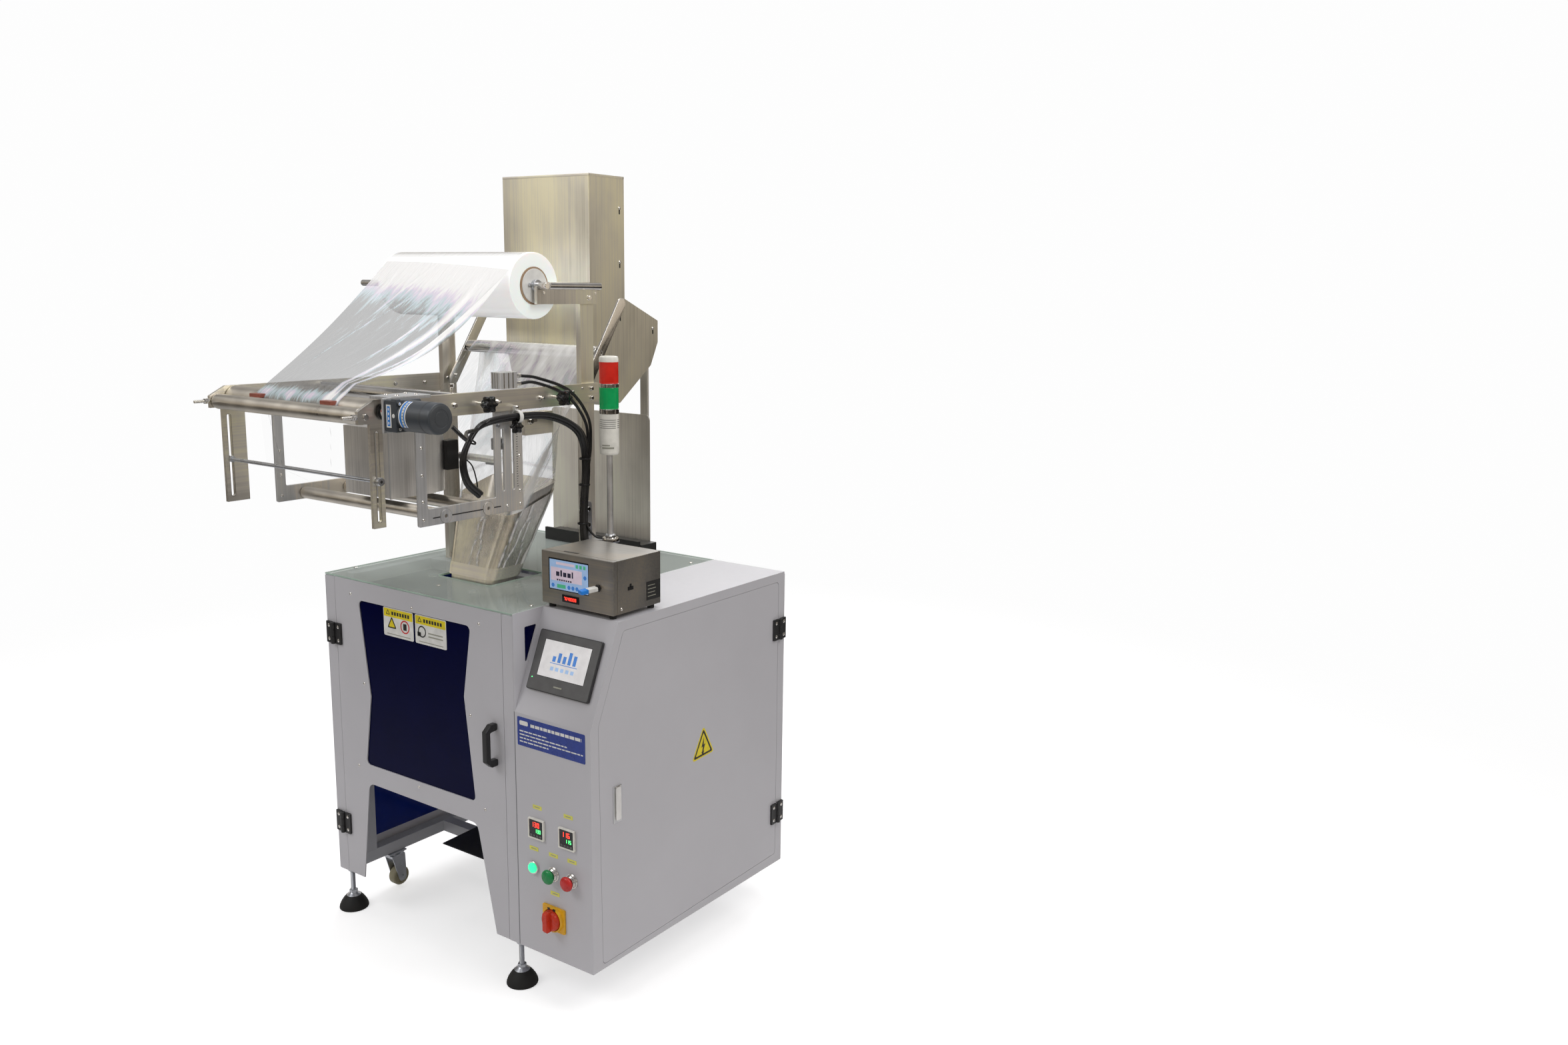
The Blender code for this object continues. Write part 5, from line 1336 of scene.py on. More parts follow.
def rack_hardware():
    """Bolts, nuts and adjusting screws of the two bearers, the drive bearings and the cross bar's sleeve."""
    kit = Kit("chrome")
    z = BEARER_Z
    for y, dz in ((-0.140, 0.004), (-0.087, 0.0), (0.258, 0.006), (0.322, -0.010), (0.322, 0.012)):
        kit.hex_bolt((RIGHT_FACE + 0.0001, y, z + dz), "X", 0.0048, 0.0040)
    for y in (0.030, 0.158):
        kit.hex_bolt((RIGHT_FACE + 0.0001, y, z), "X", 0.0048, 0.0040)
        kit.add(rod((RIGHT_FACE, y, z), (RIGHT_FACE + 0.012, y, z), 0.0028, 16))
    for y, dz in ((0.292, 0.014), (0.274, -0.010)):
        kit.screw((RIGHT_FACE, y, z + dz), "X", 0.0030)
    for y, dz in ((-0.150, 0.0), (0.020, 0.0), (0.160, 0.004), (0.250, 0.002), (0.322, 0.010)):
        kit.hex_bolt((LEFT_PLATE[1] + 0.0001, y, z + dz), "X", 0.0045, 0.0036)
        kit.hex_bolt((LEFT_PLATE[0] - 0.0001, y, z + dz), "-X", 0.0045, 0.0036)
    for x in (0.091, 0.591):
        for near, far in ((-0.3265, -0.3315), (-0.3325, -0.3370)):
            kit.add(rod((x, near, 1.337), (x, far, 1.337), 0.0062, 6, 0.0008))
        kit.add(turned(thread(0, 0.0290, 12, 0.0024, 0.0029, 0.0036), (x, -0.329, 1.337), "-Y", 20))
    for x in (LEFT_PLATE[0] - 0.003, RIGHT_FACE + 0.0003):
        kit.add(rod((x, -0.3085, 1.336), (x + 0.003, -0.3085, 1.336), 0.0062, 24))
    kit.finish("bearer_bolts", "machine", "bright_steel")

    kit = Kit("black")
    for x, side in ((LEFT_PLATE[1] + 0.0002, 1), (RIGHT_FRAME_FACE, -1)):
        kit.add(ring((x, -0.268, z), (x + side * 0.0016, -0.268, z), 0.0125, 0.0068))
    kit.finish("drive_bearings", "machine", "black_plastic")

    kit = Kit("chrome")
    y = -0.047
    kit.add(rod((0.0952, y, 1.350), (RIGHT_FRAME_FACE, y, 1.350), 0.0154, 64, 0.0003))
    kit.add(rod((0.5400, y, 1.3640), (0.5400, y, 1.3780), 0.0036, 20))
    kit.add(rod((0.5400, y, 1.3760), (0.5400, y, 1.3840), 0.0062, 6))
    kit.finish("cross_bar_sleeve", "machine", "bright_steel")


def tall_slots():
    """The dark rims of the upright slots in the two front legs."""
    kit = Kit("dark_steel")
    rim = [long_hole((-0.285, 1.130), (-0.285, 1.302), radius) for radius in (0.0056, 0.0047)]
    for x in ((LEFT_PLATE[1] - 0.0004, LEFT_PLATE[1] + 0.0003), (RIGHT_FACE - 0.0003, RIGHT_FACE + 0.0004)):
        kit.add(sheet_metal("X", x, rim, 0.0001))
    kit.finish("leg_slot_rims", "machine", "brushed_stainless")


def l_frame_details():
    """Discs and slots at the idlers, the slots being black shapes of painted shade, the scale on the rear
    leg, the frames' screws and the scale's knob.
    """
    kit = Kit("aluminium")
    for face, out in ((RIGHT_FRAME_FACE, 1), (0.0953, -1)):
        for y in (-0.112, 0.005):
            at = Vector((face, y, IDLER_Z))
            kit.paint("aluminium").add(ring(at, at + Vector((out * 0.0012, 0, 0)), 0.0148, 0.0046, 56))
            kit.paint("dark_steel").add(ring(at, at + Vector((out * 0.0007, 0, 0)), 0.0154, 0.0147, 56))
    kit.finish("idler_discs", "machine", "silver_aluminium")

    kit = Kit("ink")
    face = RIGHT_FRAME_FACE
    layer = (face, face + 0.0004)
    # The idler slots are black shapes on the frame's face: painted shade in place of open slots.
    for start, end in ((-0.146, -0.129), (-0.095, -0.012), (0.022, 0.040)):
        kit.add(sheet_metal("X", layer, [long_hole((start, IDLER_Z), (end, IDLER_Z), 0.0012, 5)], 0.0001))
    for i in range(24):
        z = 1.152 + i * 0.0055
        mark_end = 0.0950 if i % 4 == 0 else 0.0935
        kit.add(block(layer, (0.0900, mark_end), (z, z + 0.0012), 0.0001))
    kit.finish("scale_marks", "machine")

    kit = Kit("chrome")
    for y, z in ((-0.171, 1.150), (-0.171, 1.205), (-0.171, 1.262), (-0.171, 1.112), (0.060, 1.112),
                 (0.099, 1.112), (0.099, 1.142), (0.099, 1.220), (0.099, 1.300), (0.038, 1.300),
                 (-0.171, 1.305)):
        kit.screw((face, y, z), "X", 0.0036, 0.0018)
    for y, z in ((-0.171, 1.112), (-0.171, 1.160), (-0.171, 1.215), (0.099, 1.112), (0.099, 1.200)):
        kit.screw((0.0950, y, z), "-X", 0.0036, 0.0015)
        kit.screw((0.1012, y, z), "X", 0.0036, 0.0018)
    kit.finish("frame_screws", "machine", "bright_steel")

    kit = Kit("zinc")
    for y in (0.038, 0.095):
        kit.hex_bolt((face, y, 1.291), "X", 0.0040, 0.0030)
    kit.finish("frame_nuts", "machine", "zinc_steel")

    star = Kit("gloss_black")
    y, z = 0.073, 1.288
    star.add(sheet_metal("X", (0.6010, 0.6150), [star_outline(y, z, 0.0135, 0.0026, 72)], 0.0035))
    star.add(turned([(0, 0.0170), (0.005, 0.0165), (0.0085, 0.0150), (0.0085, 0), (0, 0)],
                    (0.6010, y, z), "X", 24))
    star.paint("chrome").add(rod((0.5870, y, z), (0.6020, y, z), 0.0035, 20))
    star.finish("scale_knob", "machine", "black_plastic")


def coder_head_details():
    """The coder's side cover with its folded edge, the black socket behind it and the clamp on its bar."""
    kit = Kit("coder_steel")
    kit.add(block((0.4583, 0.4593), (-0.1505, -0.0300), (1.1390, 1.2880), 0.0004))
    kit.paint("aluminium").add(block((0.4560, 0.4594), (-0.1512, -0.1504), (1.1390, 1.2880), 0.0003))
    kit.finish("coder_end_cover", "machine", "brushed_stainless")
    kit = Kit("black")
    kit.add(block((0.4400, 0.4640), (0.0000, 0.0330), (1.1860, 1.2520), 0.002))
    kit.finish("coder_socket", "machine", "black_plastic")
    kit = Kit("zinc")
    kit.add(block((0.5605, 0.5770), (0.040, 0.070), (1.236, 1.262), 0.002))
    kit.add(block((0.5300, 0.5610), (0.050, 0.062), (1.2000, 1.2100), 0.002))
    kit.hex_bolt((0.5772, 0.0475, 1.249), "X", 0.0055, 0.004)
    kit.finish("coder_clamp", "machine", "zinc_steel")


def sensor_channel():
    """The folded sensor box under the right bearer and the extruded air cylinder on it, with painted shade in
    the box's slot and the cylinder's grooves.
    """
    kit = Kit("steel_y")
    kit.add(panel("X", (0.5600, RIGHT_FRAME_FACE), (0.118, 0.205), (1.262, 1.312), 0.002, 0.0008))
    # The slot is a dark patch on the face: painted shade.
    slot = long_hole((0.128, 1.294), (0.152, 1.294), 0.0035)
    kit.paint("dark_steel").add(sheet_metal("X", (RIGHT_FRAME_FACE, 0.5873), [slot], 0.0001))
    kit.paint("chrome").hex_bolt((0.5872, 0.135, 1.294), "X", 0.0062, 0.0050)
    kit.finish("sensor_box", "machine", "brushed_stainless")

    kit = Kit("aluminium")
    y, z = (0.045, 0.096), (1.3690, 1.4050)
    kit.add(panel("Z", z, (0.560, 0.590), y, 0.003, 0.0010))
    # Dark strips on the cylinder's faces: painted shade in its grooves.
    kit.paint("dark_steel")
    for x in (0.5650, 0.5725, 0.5800):
        kit.add(block((x, x + 0.0022), (y[0] - 0.0002, y[0] + 0.0003), inset(z, 0.001)))
    for groove_y in (0.055, 0.068, 0.081):
        kit.add(block((0.5898, 0.5903), (groove_y, groove_y + 0.0030), inset(z, 0.001)))
    kit.paint("chrome")
    for port_z in (z[0] + 0.0095, z[0] + 0.0265):
        kit.add(rod((0.5840, y[1] - 0.001, port_z), (0.5840, y[1] + 0.0070, port_z), 0.0048, 6))
        kit.add(rod((0.5840, y[1] + 0.0060, port_z), (0.5840, y[1] + 0.0130, port_z), 0.0045, 24))
    kit.finish("air_cylinder", "machine", "silver_aluminium")


def arm_details():
    """Bolts of the roller arms and of the roll's brackets, and the brackets' round bars."""
    kit = Kit("chrome")
    for x, axis in ((0.5670, "-X"), (0.1150, "X")):
        kit.hex_bolt((x, 0.334, 1.3610), axis, 0.0046, 0.0035)
    for x, axis in ((0.5912, "X"), (0.0908, "-X")):
        kit.hex_bolt((x, 0.322, 1.5640), axis, 0.0050, 0.0040)
    kit.finish("arm_bolts", "machine", "bright_steel")
    kit = Kit("chrome")
    for y, z in ((0.180, 1.575), (0.345, 1.575)):
        kit.add(rod((0.5908, y, z), (0.5922, y, z), 0.0030, 16))
    for x in (0.5870, 0.0950):
        kit.add(rod((x, 0.1972, 1.590), (x, 0.3628, 1.590), 0.0089, 48, 0.0012))
    kit.finish("bracket_bars", "machine", "bright_steel")


# Film drive ---------------------------------------------------------------------------------------

def drive_motor():
    y, z = -0.272, 1.3425
    kit = Kit("motor")
    kit.add(turned([(0, 0.0940), (0.0255, 0.0940), (0.0290, 0.0925), (0.0305, 0.0890), (0.0305, 0), (0, 0)],
                   (0.6760, y, z), "X", 64))
    kit.paint("motor_cap").add(turned([(0, 0.0948), (0.0135, 0.0948), (0.0140, 0.0942), (0.0175, 0.0942),
                                       (0.0180, 0.0948), (0.0245, 0.0948), (0.0262, 0.0938), (0.0262, 0.090),
                                       (0, 0.090)], (0.6760, y, z), "X", 64))
    kit.add(turned([(0.0308, 0.0700), (0.0310, 0.0690), (0.0310, 0.0660), (0.0300, 0.0650), (0.0300, 0.0700),
                    (0.0308, 0.0700)], (0.6760, y, z), "X", 64))
    kit.paint("motor").add(block((0.6458, 0.6800), about(y, 0.0310), about(z, 0.0310), 0.0030))
    kit.add(block((0.6640, 0.6800), (y - 0.0300, y - 0.0180), (z + 0.0180, z + 0.0330), 0.0020))
    kit.paint("chrome")
    for dy in (-0.024, 0.024):
        for dz in (-0.024, 0.024):
            kit.add(rod((0.6795, y + dy, z + dz), (0.6840, y + dy, z + dz), 0.0032, 20))
    kit.paint("aluminium")
    kit.add(block((0.6398, 0.6461), about(y, 0.0332), (z - 0.0342, z + 0.0332), 0.0010))
    kit.add(block((0.5828, 0.6460), (y - 0.0162, -0.1898), (1.3703, 1.3768), 0.0010))
    kit.add(block((0.5870, 0.5950), (-0.2252, -0.1948), (1.3682, 1.3716), 0.0006))
    kit.paint("chrome")
    for x, yy in ((0.600, -0.262), (0.632, -0.262), (0.600, -0.215), (0.632, -0.215)):
        kit.screw((x, yy, 1.3768), "Z", 0.0040, 0.0030)
    kit.paint("sticker")
    kit.add(block((0.6520, 0.6660), (y - 0.0316, y - 0.0308), about(z, 0.0220), 0.0002))
    kit.paint("label_blue")
    kit.add(block((0.6550, 0.6630), (y - 0.0318, y - 0.0312), about(z, 0.0190), 0.0001))
    kit.paint("sticker")
    for i in range(4):
        row = (z - 0.0160 + i * 0.009, z - 0.0110 + i * 0.009)
        kit.add(block((0.6575, 0.6605), (y - 0.0320, y - 0.0314), row, 0.0001))
    kit.add(rod((0.6725, y - 0.0305, z + 0.0010), (0.6725, y - 0.0316, z + 0.0010), 0.0040, 24))
    motor_label(kit, y, z)
    kit.finish("film_drive_motor", "machine", "motor_enamel", ["drive_motor"])


def motor_label(kit, y, z):
    """A wrapped label of blue and white bands with grey bars."""
    def patch(x, radius, angles):
        points = [(y + radius * math.cos(a), z + radius * math.sin(a)) for a in angles]
        kit.add(strip([[(end, *point) for end in x] for point in points]))

    radius = 0.0307
    turn = [math.radians(110 + 110 * i / 24) for i in range(25)]
    kit.paint("sticker")
    patch((0.6860, 0.7060), radius, turn)
    kit.paint("label_blue")
    patch((0.6890, 0.6945), radius + 0.0002, turn)
    patch((0.7000, 0.7030), radius + 0.0002, turn)
    kit.paint("grey_ink")
    for i in range(9):
        a = math.radians(118 + 11 * i)
        patch((0.6958, 0.6990), radius + 0.0003, (a, a + 0.10))


# Cables -------------------------------------------------------------------------------------------

LOOM_X = 0.6085
LOOM = [(LOOM_X, -0.037, 1.150), (LOOM_X, -0.072, 1.183), (LOOM_X, -0.080, 1.236), (LOOM_X, -0.048, 1.285),
        (LOOM_X, -0.011, 1.303), (LOOM_X, 0.071, 1.309), (LOOM_X, 0.170, 1.303), (LOOM_X, 0.247, 1.273),
        (LOOM_X, 0.278, 1.233), (LOOM_X, 0.284, 1.170), (LOOM_X, 0.277, 1.104),
        (LOOM_X + 0.002, 0.272, 1.055), (LOOM_X + 0.010, 0.268, 0.995), (LOOM_X + 0.020, 0.286, 0.945),
        (LOOM_X + 0.029, 0.330, 0.915), (0.640, 0.360, 0.892)]


def beside(route, dx, dy=0.0, dz=0.0):
    return [(x + dx, y + dy, z + dz) for x, y, z in route]


def cable_loom():
    """Two fat leads, the motor lead and the air lines, with their ties and a clip."""
    kit = Kit("cable")
    kit.add(hose(beside(LOOM, -0.0030, 0, -0.0025), 0.0056), hose(beside(LOOM, 0.0035, 0, 0.0035), 0.0056))
    kit.add(hose(beside(LOOM[6:], 0.0020, 0.0090, 0.0010), 0.0042))
    kit.add(hose([(0.765, -0.241, 1.325), (0.770, -0.215, 1.300), (0.700, -0.150, 1.290),
                  (0.640, -0.095, 1.292), (LOOM_X + 0.006, -0.045, 1.292), (LOOM_X + 0.006, -0.011, 1.309)],
                 0.0042))
    upper = [(0.584, 0.108, 1.3955), (0.590, 0.157, 1.388), (0.600, 0.246, 1.355), (LOOM_X, 0.296, 1.292),
             (LOOM_X, 0.303, 1.229), (LOOM_X, 0.294, 1.170), (LOOM_X, 0.284, 1.110)]
    lower = [(0.584, 0.108, 1.3785), (0.590, 0.150, 1.378), (0.600, 0.236, 1.345),
             (LOOM_X + 0.002, 0.283, 1.285), (LOOM_X + 0.002, 0.293, 1.225), (LOOM_X + 0.002, 0.289, 1.165),
             (LOOM_X + 0.002, 0.281, 1.110)]
    kit.add(hose(upper, 0.0036), hose(lower, 0.0036))
    kit.add(hose([(LOOM_X + 0.004, 0.278, 1.090), (LOOM_X + 0.012, 0.276, 1.040), (0.634, 0.288, 1.014),
                  (0.650, 0.296, 1.010)], 0.0026))
    kit.add(hose([(0.600, -0.075, 1.236), (0.600, -0.050, 1.215), (0.600, -0.038, 1.180),
                  (0.600, -0.036, 1.152)], 0.0015))
    kit.finish("cables", "machine", "cable_sheath", ["cable_loom"])

    kit = Kit("black")
    for at, along in (((LOOM_X, 0.2835, 1.196), "Z"), ((LOOM_X, 0.281, 1.135), "Z"),
                      ((LOOM_X + 0.004, 0.271, 1.045), "Z"), ((LOOM_X, -0.060, 1.268), (0, 0.55, 0.83)),
                      ((LOOM_X + 0.012, 0.270, 0.985), "Z")):
        direction = AXES[along] if isinstance(along, str) else Vector(along).normalized()
        at = Vector(at)
        kit.add(ring(at - direction * 0.0018, at + direction * 0.0018, 0.0135, 0.0118))
    kit.finish("cable_ties", "machine", "black_plastic")
    kit = Kit("white")
    kit.add(ring((LOOM_X, 0.0710, 1.3095), (LOOM_X, 0.0810, 1.3095), 0.0145, 0.0126))
    kit.add(block((LOOM_X - 0.010, LOOM_X - 0.002), (0.0710, 0.0810), (1.3210, 1.3330), 0.001))
    kit.paint("chrome").hex_bolt((0.6065, 0.076, 1.3295), "X", 0.0035, 0.0025)
    kit.finish("cable_clip", "machine")


# Former and film ----------------------------------------------------------------------------------

LID_Z = 0.889
FORMER_X = 0.330
MOUTH_Z = 1.0598


def former_section(z, inset, steps=10):
    """The former's rounded section at height z, as (x, y) points from its front left corner to the right."""
    rise = max(0.0, z - LID_Z)
    front = 0.1625 + 0.33 * rise + inset
    rear = 0.2675 + 0.47 * rise - inset
    half = 0.0825 + 0.144 * rise - inset
    return rounded(rectangle(about(FORMER_X, half), (front, rear)), 0.030 - inset, steps)


def former_ring(z, inset, slant, steps=10):
    """The section's points with their heights, where the ring rises towards the rear by slant."""
    flat = former_section(z, inset, steps)
    levels = [z + slant * (v - flat[0][1]) for _, v in flat]
    return [Vector((*former_section(level, inset, steps)[i], level)) for i, level in enumerate(levels)]


def former_sleeve(heights, inset, slant, wall):
    """An open sleeve through the former's rings with a wall of real thickness."""
    bm = bmesh.new()
    sides = []
    for depth in (0.0, wall):
        rows = []
        for z in heights:
            rise = slant if z == heights[-1] else 0.0
            rows.append([bm.verts.new(p) for p in former_ring(z, inset + depth, rise)])
        sides.append(rows)
    outer, inner = sides
    count = len(outer[0])
    for rows, flip in ((outer, False), (inner, True)):
        for lower, upper in zip(rows, rows[1:]):
            for i in range(count):
                j = (i + 1) % count
                quad = (lower[i], lower[j], upper[j], upper[i])
                bm.faces.new(quad[::-1] if flip else quad)
    for a, b in ((outer[0], inner[0]), (inner[-1], outer[-1])):
        for i in range(count):
            j = (i + 1) % count
            bm.faces.new((a[i], b[i], b[j], a[j]))
    bmesh.ops.recalc_face_normals(bm, faces=bm.faces)
    return bm


def former_pieces():
    kit = Kit("former_steel")
    kit.add(former_sleeve((0.8958, 0.93, 1.00, MOUTH_Z), 0.0, 0.40, 0.0012))
    kit.paint("dark_steel")
    kit.add(block((0.3285, 0.3365), (0.1660, 0.1672), (0.8960, 0.9000)))
    kit.finish("collar", "machine", "bright_steel", ["former_collar"])
    kit = Kit("steel_z")
    kit.add(former_sleeve((0.520, 0.70, 0.880, LID_Z, 0.93, 1.00, 1.0895), 0.005, 0.30, 0.0012))
    kit.finish("inner_tube", "machine", "brushed_stainless", ["former_tube"])
    kit = Kit("steel_x")
    kit.add(former_sleeve((0.8950, 0.9230), -0.0010, 0.0, 0.0009))
    kit.finish("collar_band", "machine", "brushed_stainless")


def film_grid(name, columns, rows, place, painted_highlight, material):
    """A sheet of film: place(u, v) gives its points and the function after it the strength of its painted
    highlight at (u, v).
    """
    bm = bmesh.new()
    grid = [[bm.verts.new(Vector(place(c / columns, r / rows)) + ORIGIN) for c in range(columns + 1)]
            for r in range(rows + 1)]
    for lower, upper in zip(grid, grid[1:]):
        for a, b, c, d in zip(lower, lower[1:], upper[1:], upper):
            bm.faces.new((a, b, c, d))
    for face in bm.faces:
        face.smooth = True
    bmesh.ops.recalc_face_normals(bm, faces=bm.faces)
    mesh = bpy.data.meshes.new(name)
    bm.to_mesh(mesh)
    bm.free()
    # Each point's painted highlight strength, read by the film's material.
    values = [painted_highlight(c / columns, r / rows) for r in range(rows + 1) for c in range(columns + 1)]
    attribute = mesh.attributes.new("painted_highlight", "FLOAT", "POINT")
    attribute.data.foreach_set("value", values)
    mesh.materials.append(MATERIALS[material])
    obj = bpy.data.objects.new(name, mesh)
    bpy.context.scene.collection.objects.link(obj)
    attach(obj, "machine")
    return obj


def belt_route(stations, spacing=0.006):
    """Points along a web over (y, z, radius, turn).

    The turn is 1 with the roller on the left of travel, -1 on the right and 0 for a plain end point."""
    headings = []
    for (y0, z0, r0, s0), (y1, z1, r1, s1) in zip(stations, stations[1:]):
        apart = Vector((y1 - y0, z1 - z0))
        headings.append(math.atan2(apart[1], apart[0]) - math.asin((s1 * r1 - s0 * r0) / apart.length))
    corners = []
    for i, (y, z, r, s) in enumerate(stations):
        first, last = headings[max(i - 1, 0)], headings[min(i, len(headings) - 1)]
        wrap = (last - first) * s % (2 * math.pi) if s else 0.0
        inside = 0 < i < len(stations) - 1
        steps = max(1, round(wrap / 0.12)) if inside and s else 0
        arc = []
        for k in range(steps + 1):
            a = first + s * wrap * k / max(steps, 1) if inside else last
            arc.append(Vector((y + s * r * math.sin(a), z - s * r * math.cos(a))))
        corners.append(arc)
    route = [corners[0][0]]
    for arc in corners:
        for point in arc:
            span = (point - route[-1]).length
            count = max(1, int(span / spacing))
            start = route[-1]
            for k in range(1, count + 1):
                route.append(start.lerp(point, k / count))
    return [p for p, q in zip(route, route[1:]) if (p - q).length > 1e-6] + [route[-1]]


class Web:
    """A path with its running length, so that a sheet can be laid along it by fraction."""

    def __init__(self, route):
        self.route = route
        self.lengths = [0.0]
        for a, b in zip(route, route[1:]):
            self.lengths.append(self.lengths[-1] + (b - a).length)
        self.total = self.lengths[-1]

    def stretch(self, v):
        """(point, index of the path's next point) at fraction v of the length."""
        target = v * self.total
        for i in range(1, len(self.lengths)):
            if self.lengths[i] >= target:
                break
        span = max(self.lengths[i] - self.lengths[i - 1], 1e-9)
        return self.route[i - 1].lerp(self.route[i], (target - self.lengths[i - 1]) / span), i

    def at(self, v):
        """(point, normal) at fraction v of a path in the plane."""
        point, i = self.stretch(v)
        heading = (self.route[i] - self.route[i - 1]).normalized()
        return point, Vector((-heading[1], heading[0]))


def gauss(x, width):
    return math.exp(-(x / width) ** 2)


FILM_WIDTH = 0.428
FILM_LEFT = 0.135
GATHERED = (0.232, 0.505)
FOLDS = [(CHANCE.uniform(0.05, 1.0), CHANCE.uniform(-0.05, 0.9), CHANCE.uniform(0.006, 0.020),
          CHANCE.uniform(0.04, 0.26), CHANCE.uniform(0.0, 0.5), CHANCE.uniform(0.5, 1.1)) for _ in range(44)]
MAIN_FOLDS = [(0.97, 0.97, 0.022, 0.95, 0.05, 1.3), (0.84, 0.84, 0.030, 0.9, 0.1, 1.3),
              (1.00, 0.90, 0.010, 0.8, 0.0, 1.3), (0.62, 0.10, 0.006, 0.7, 0.25, 1.3),
              (0.78, 0.62, 0.008, 0.5, 0.3, 0.9), (0.45, 0.10, 0.010, 0.35, 0.0, 0.8)]


def fold_value(u, v):
    """How strongly the folds between the roll and the drive roller stand out at (u, v): it sets the height of
    their ridges and the strength of their painted highlights.
    """
    total = 0.0
    for top, foot, width, strength, start, end in FOLDS + MAIN_FOLDS:
        reach = min(1.0, max(0.0, (v - start) / 0.18)) * min(1.0, max(0.0, (end - v) / 0.25))
        line = top + (foot - top) * v ** 0.9 + 0.012 * math.sin(9 * v + top * 20)
        total += strength * reach * gauss(u - line, width)
    return total


def roller_station(node, turn):
    """The roller as a station of belt_route, with the film just clear of its surface."""
    y, z, radius, _, _ = roller_shape(node)
    return y, z, radius + 0.0006, turn


def film_from_roll(drive, nip):
    """The film drawn from the roll over the drive roller and round the nip roller, gathering on its way."""
    roll = roller_station("film_roll", 1)
    draw = Web(belt_route([(roll[0] + 0.060, roll[1] + 0.045, 0, 0), roll, drive, nip,
                           (nip[0] + 0.016, nip[1] - 0.014, 0, 0)]))
    near_roll = 0.16

    def fall_at(v):
        """How far the film has come from the roll, at 0, to the drive roller, at 1."""
        return min(1.0, max(0.0, (v - near_roll) / (0.86 - near_roll)))

    def draw_place(u, v):
        (y, z), _ = draw.at(v)
        fall = fall_at(v)
        x_left = FILM_LEFT + 0.072 * fall ** 1.15
        x_right = FILM_LEFT + FILM_WIDTH - 0.076 * fall ** 1.9
        middle = math.sin(math.pi * fall) ** 0.8
        wave = (fold_value(u, fall) * 0.0042 - 0.003) * middle
        sag = -(0.012 + 0.030 * u * u) * math.sin(math.pi * fall)
        return x_left + (x_right - x_left) * u, y, z + (wave + sag)

    # Painted highlight of the drawn film: a painted sheen where it leaves the roll and where it is pressed at
    # the nip, painted highlights along its folds that fade on its left side, a slight brightening to the
    # right, and noise that breaks them up.
    def draw_painted_highlight(u, v):
        fall = fall_at(v)
        sheen_noise = 0.5 + 0.5 * noise.noise(Vector((u * 9, v * 3, 2)))
        start = 0.90 * gauss(fall, 0.26)
        lean = 0.08 * u * math.sin(math.pi * fall)
        nip_sheen = 0.34 * gauss(v - 0.93, 0.035) * (0.5 + sheen_noise)
        quiet = 0.45 + 0.55 * min(1.0, u * 1.6)
        folds = (0.60 - 0.14 * fall) * fold_value(u, fall) * quiet
        return min(1.0, 0.03 + folds + 0.08 * sheen_noise + lean + start + nip_sheen)

    sheet = film_grid("film_from_roll", 230, 120, draw_place, draw_painted_highlight, "film")
    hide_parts("film_web")


def film_front_loop(nip, idlers):
    """The gathered film down to the dancer bar and back under the two idlers."""
    dancer = roller_station("dancer_rod", 1)
    loop = Web(belt_route([(nip[0] + 0.012, nip[1] - 0.020, 0, 0), dancer, *idlers,
                           (idlers[1][0] + 0.030, idlers[1][1] + 0.012, 0, 0)]))

    def loop_place(u, v):
        (y, z), (ny, nz) = loop.at(v)
        ripple = 0.0012 * noise.noise(Vector((u * 7, v * 5, 0)))
        return GATHERED[0] + (GATHERED[1] - GATHERED[0]) * u, y + ny * ripple, z + nz * ripple

    # Painted highlights along two creases and in faint patches; below zero the film stays fully clear.
    def loop_painted_highlight(u, v):
        crease_glint = gauss(u - 0.10 - 0.5 * v, 0.008) + 0.8 * gauss(u - 0.86 + 0.25 * v, 0.006)
        return -0.20 + 0.62 * crease_glint + 0.10 * max(0.0, noise.noise(Vector((u * 14, v * 6, 5))))

    film_grid("film_front_loop", 60, 80, loop_place, loop_painted_highlight, "film_thin")


def film_rise(idler, top):
    """The film from the rear idler up over the top roller, spreading to its full width."""
    rise = Web(belt_route([(idler[0] + 0.020, idler[1] + 0.004, 0, 0), top,
                           (top[0] + top[2] + 0.004, top[1] - 0.010, 0, 0)]))

    def rise_place(u, v):
        (y, z), (ny, nz) = rise.at(v)
        ripple = 0.0012 * noise.noise(Vector((u * 6, v * 4, 3))) * math.sin(math.pi * v)
        spread = min(1.0, v * 1.6)
        x_left = GATHERED[0] + (FILM_LEFT + 0.010 - GATHERED[0]) * spread
        x_right = GATHERED[1] + (FILM_LEFT + FILM_WIDTH - 0.004 - GATHERED[1]) * spread
        return x_left + (x_right - x_left) * u, y + ny * ripple, z + nz * ripple

    # Painted highlights: faint patches that grow towards the top, a bright band where the film turns over the
    # top roller, and a broad painted sheen over its upper right part. The noise called grain only breaks up
    # that sheen, and corner is the sheen itself.
    def rise_painted_highlight(u, v):
        shine = max(0.0, noise.noise(Vector((u * 16 + v * 5, v * 9, 8))))
        grain = 0.75 + 0.5 * noise.noise(Vector((u * 20 + v * 6, v * 6, 14)))
        corner = gauss(u - 0.72, 0.48) * max(0.0, v - 0.30) ** 0.6 * grain
        return 0.05 + 0.45 * shine * v + 0.6 * gauss(v - 0.97, 0.06) + 1.25 * corner

    film_grid("film_rise", 70, 80, rise_place, rise_painted_highlight, "film_thin")


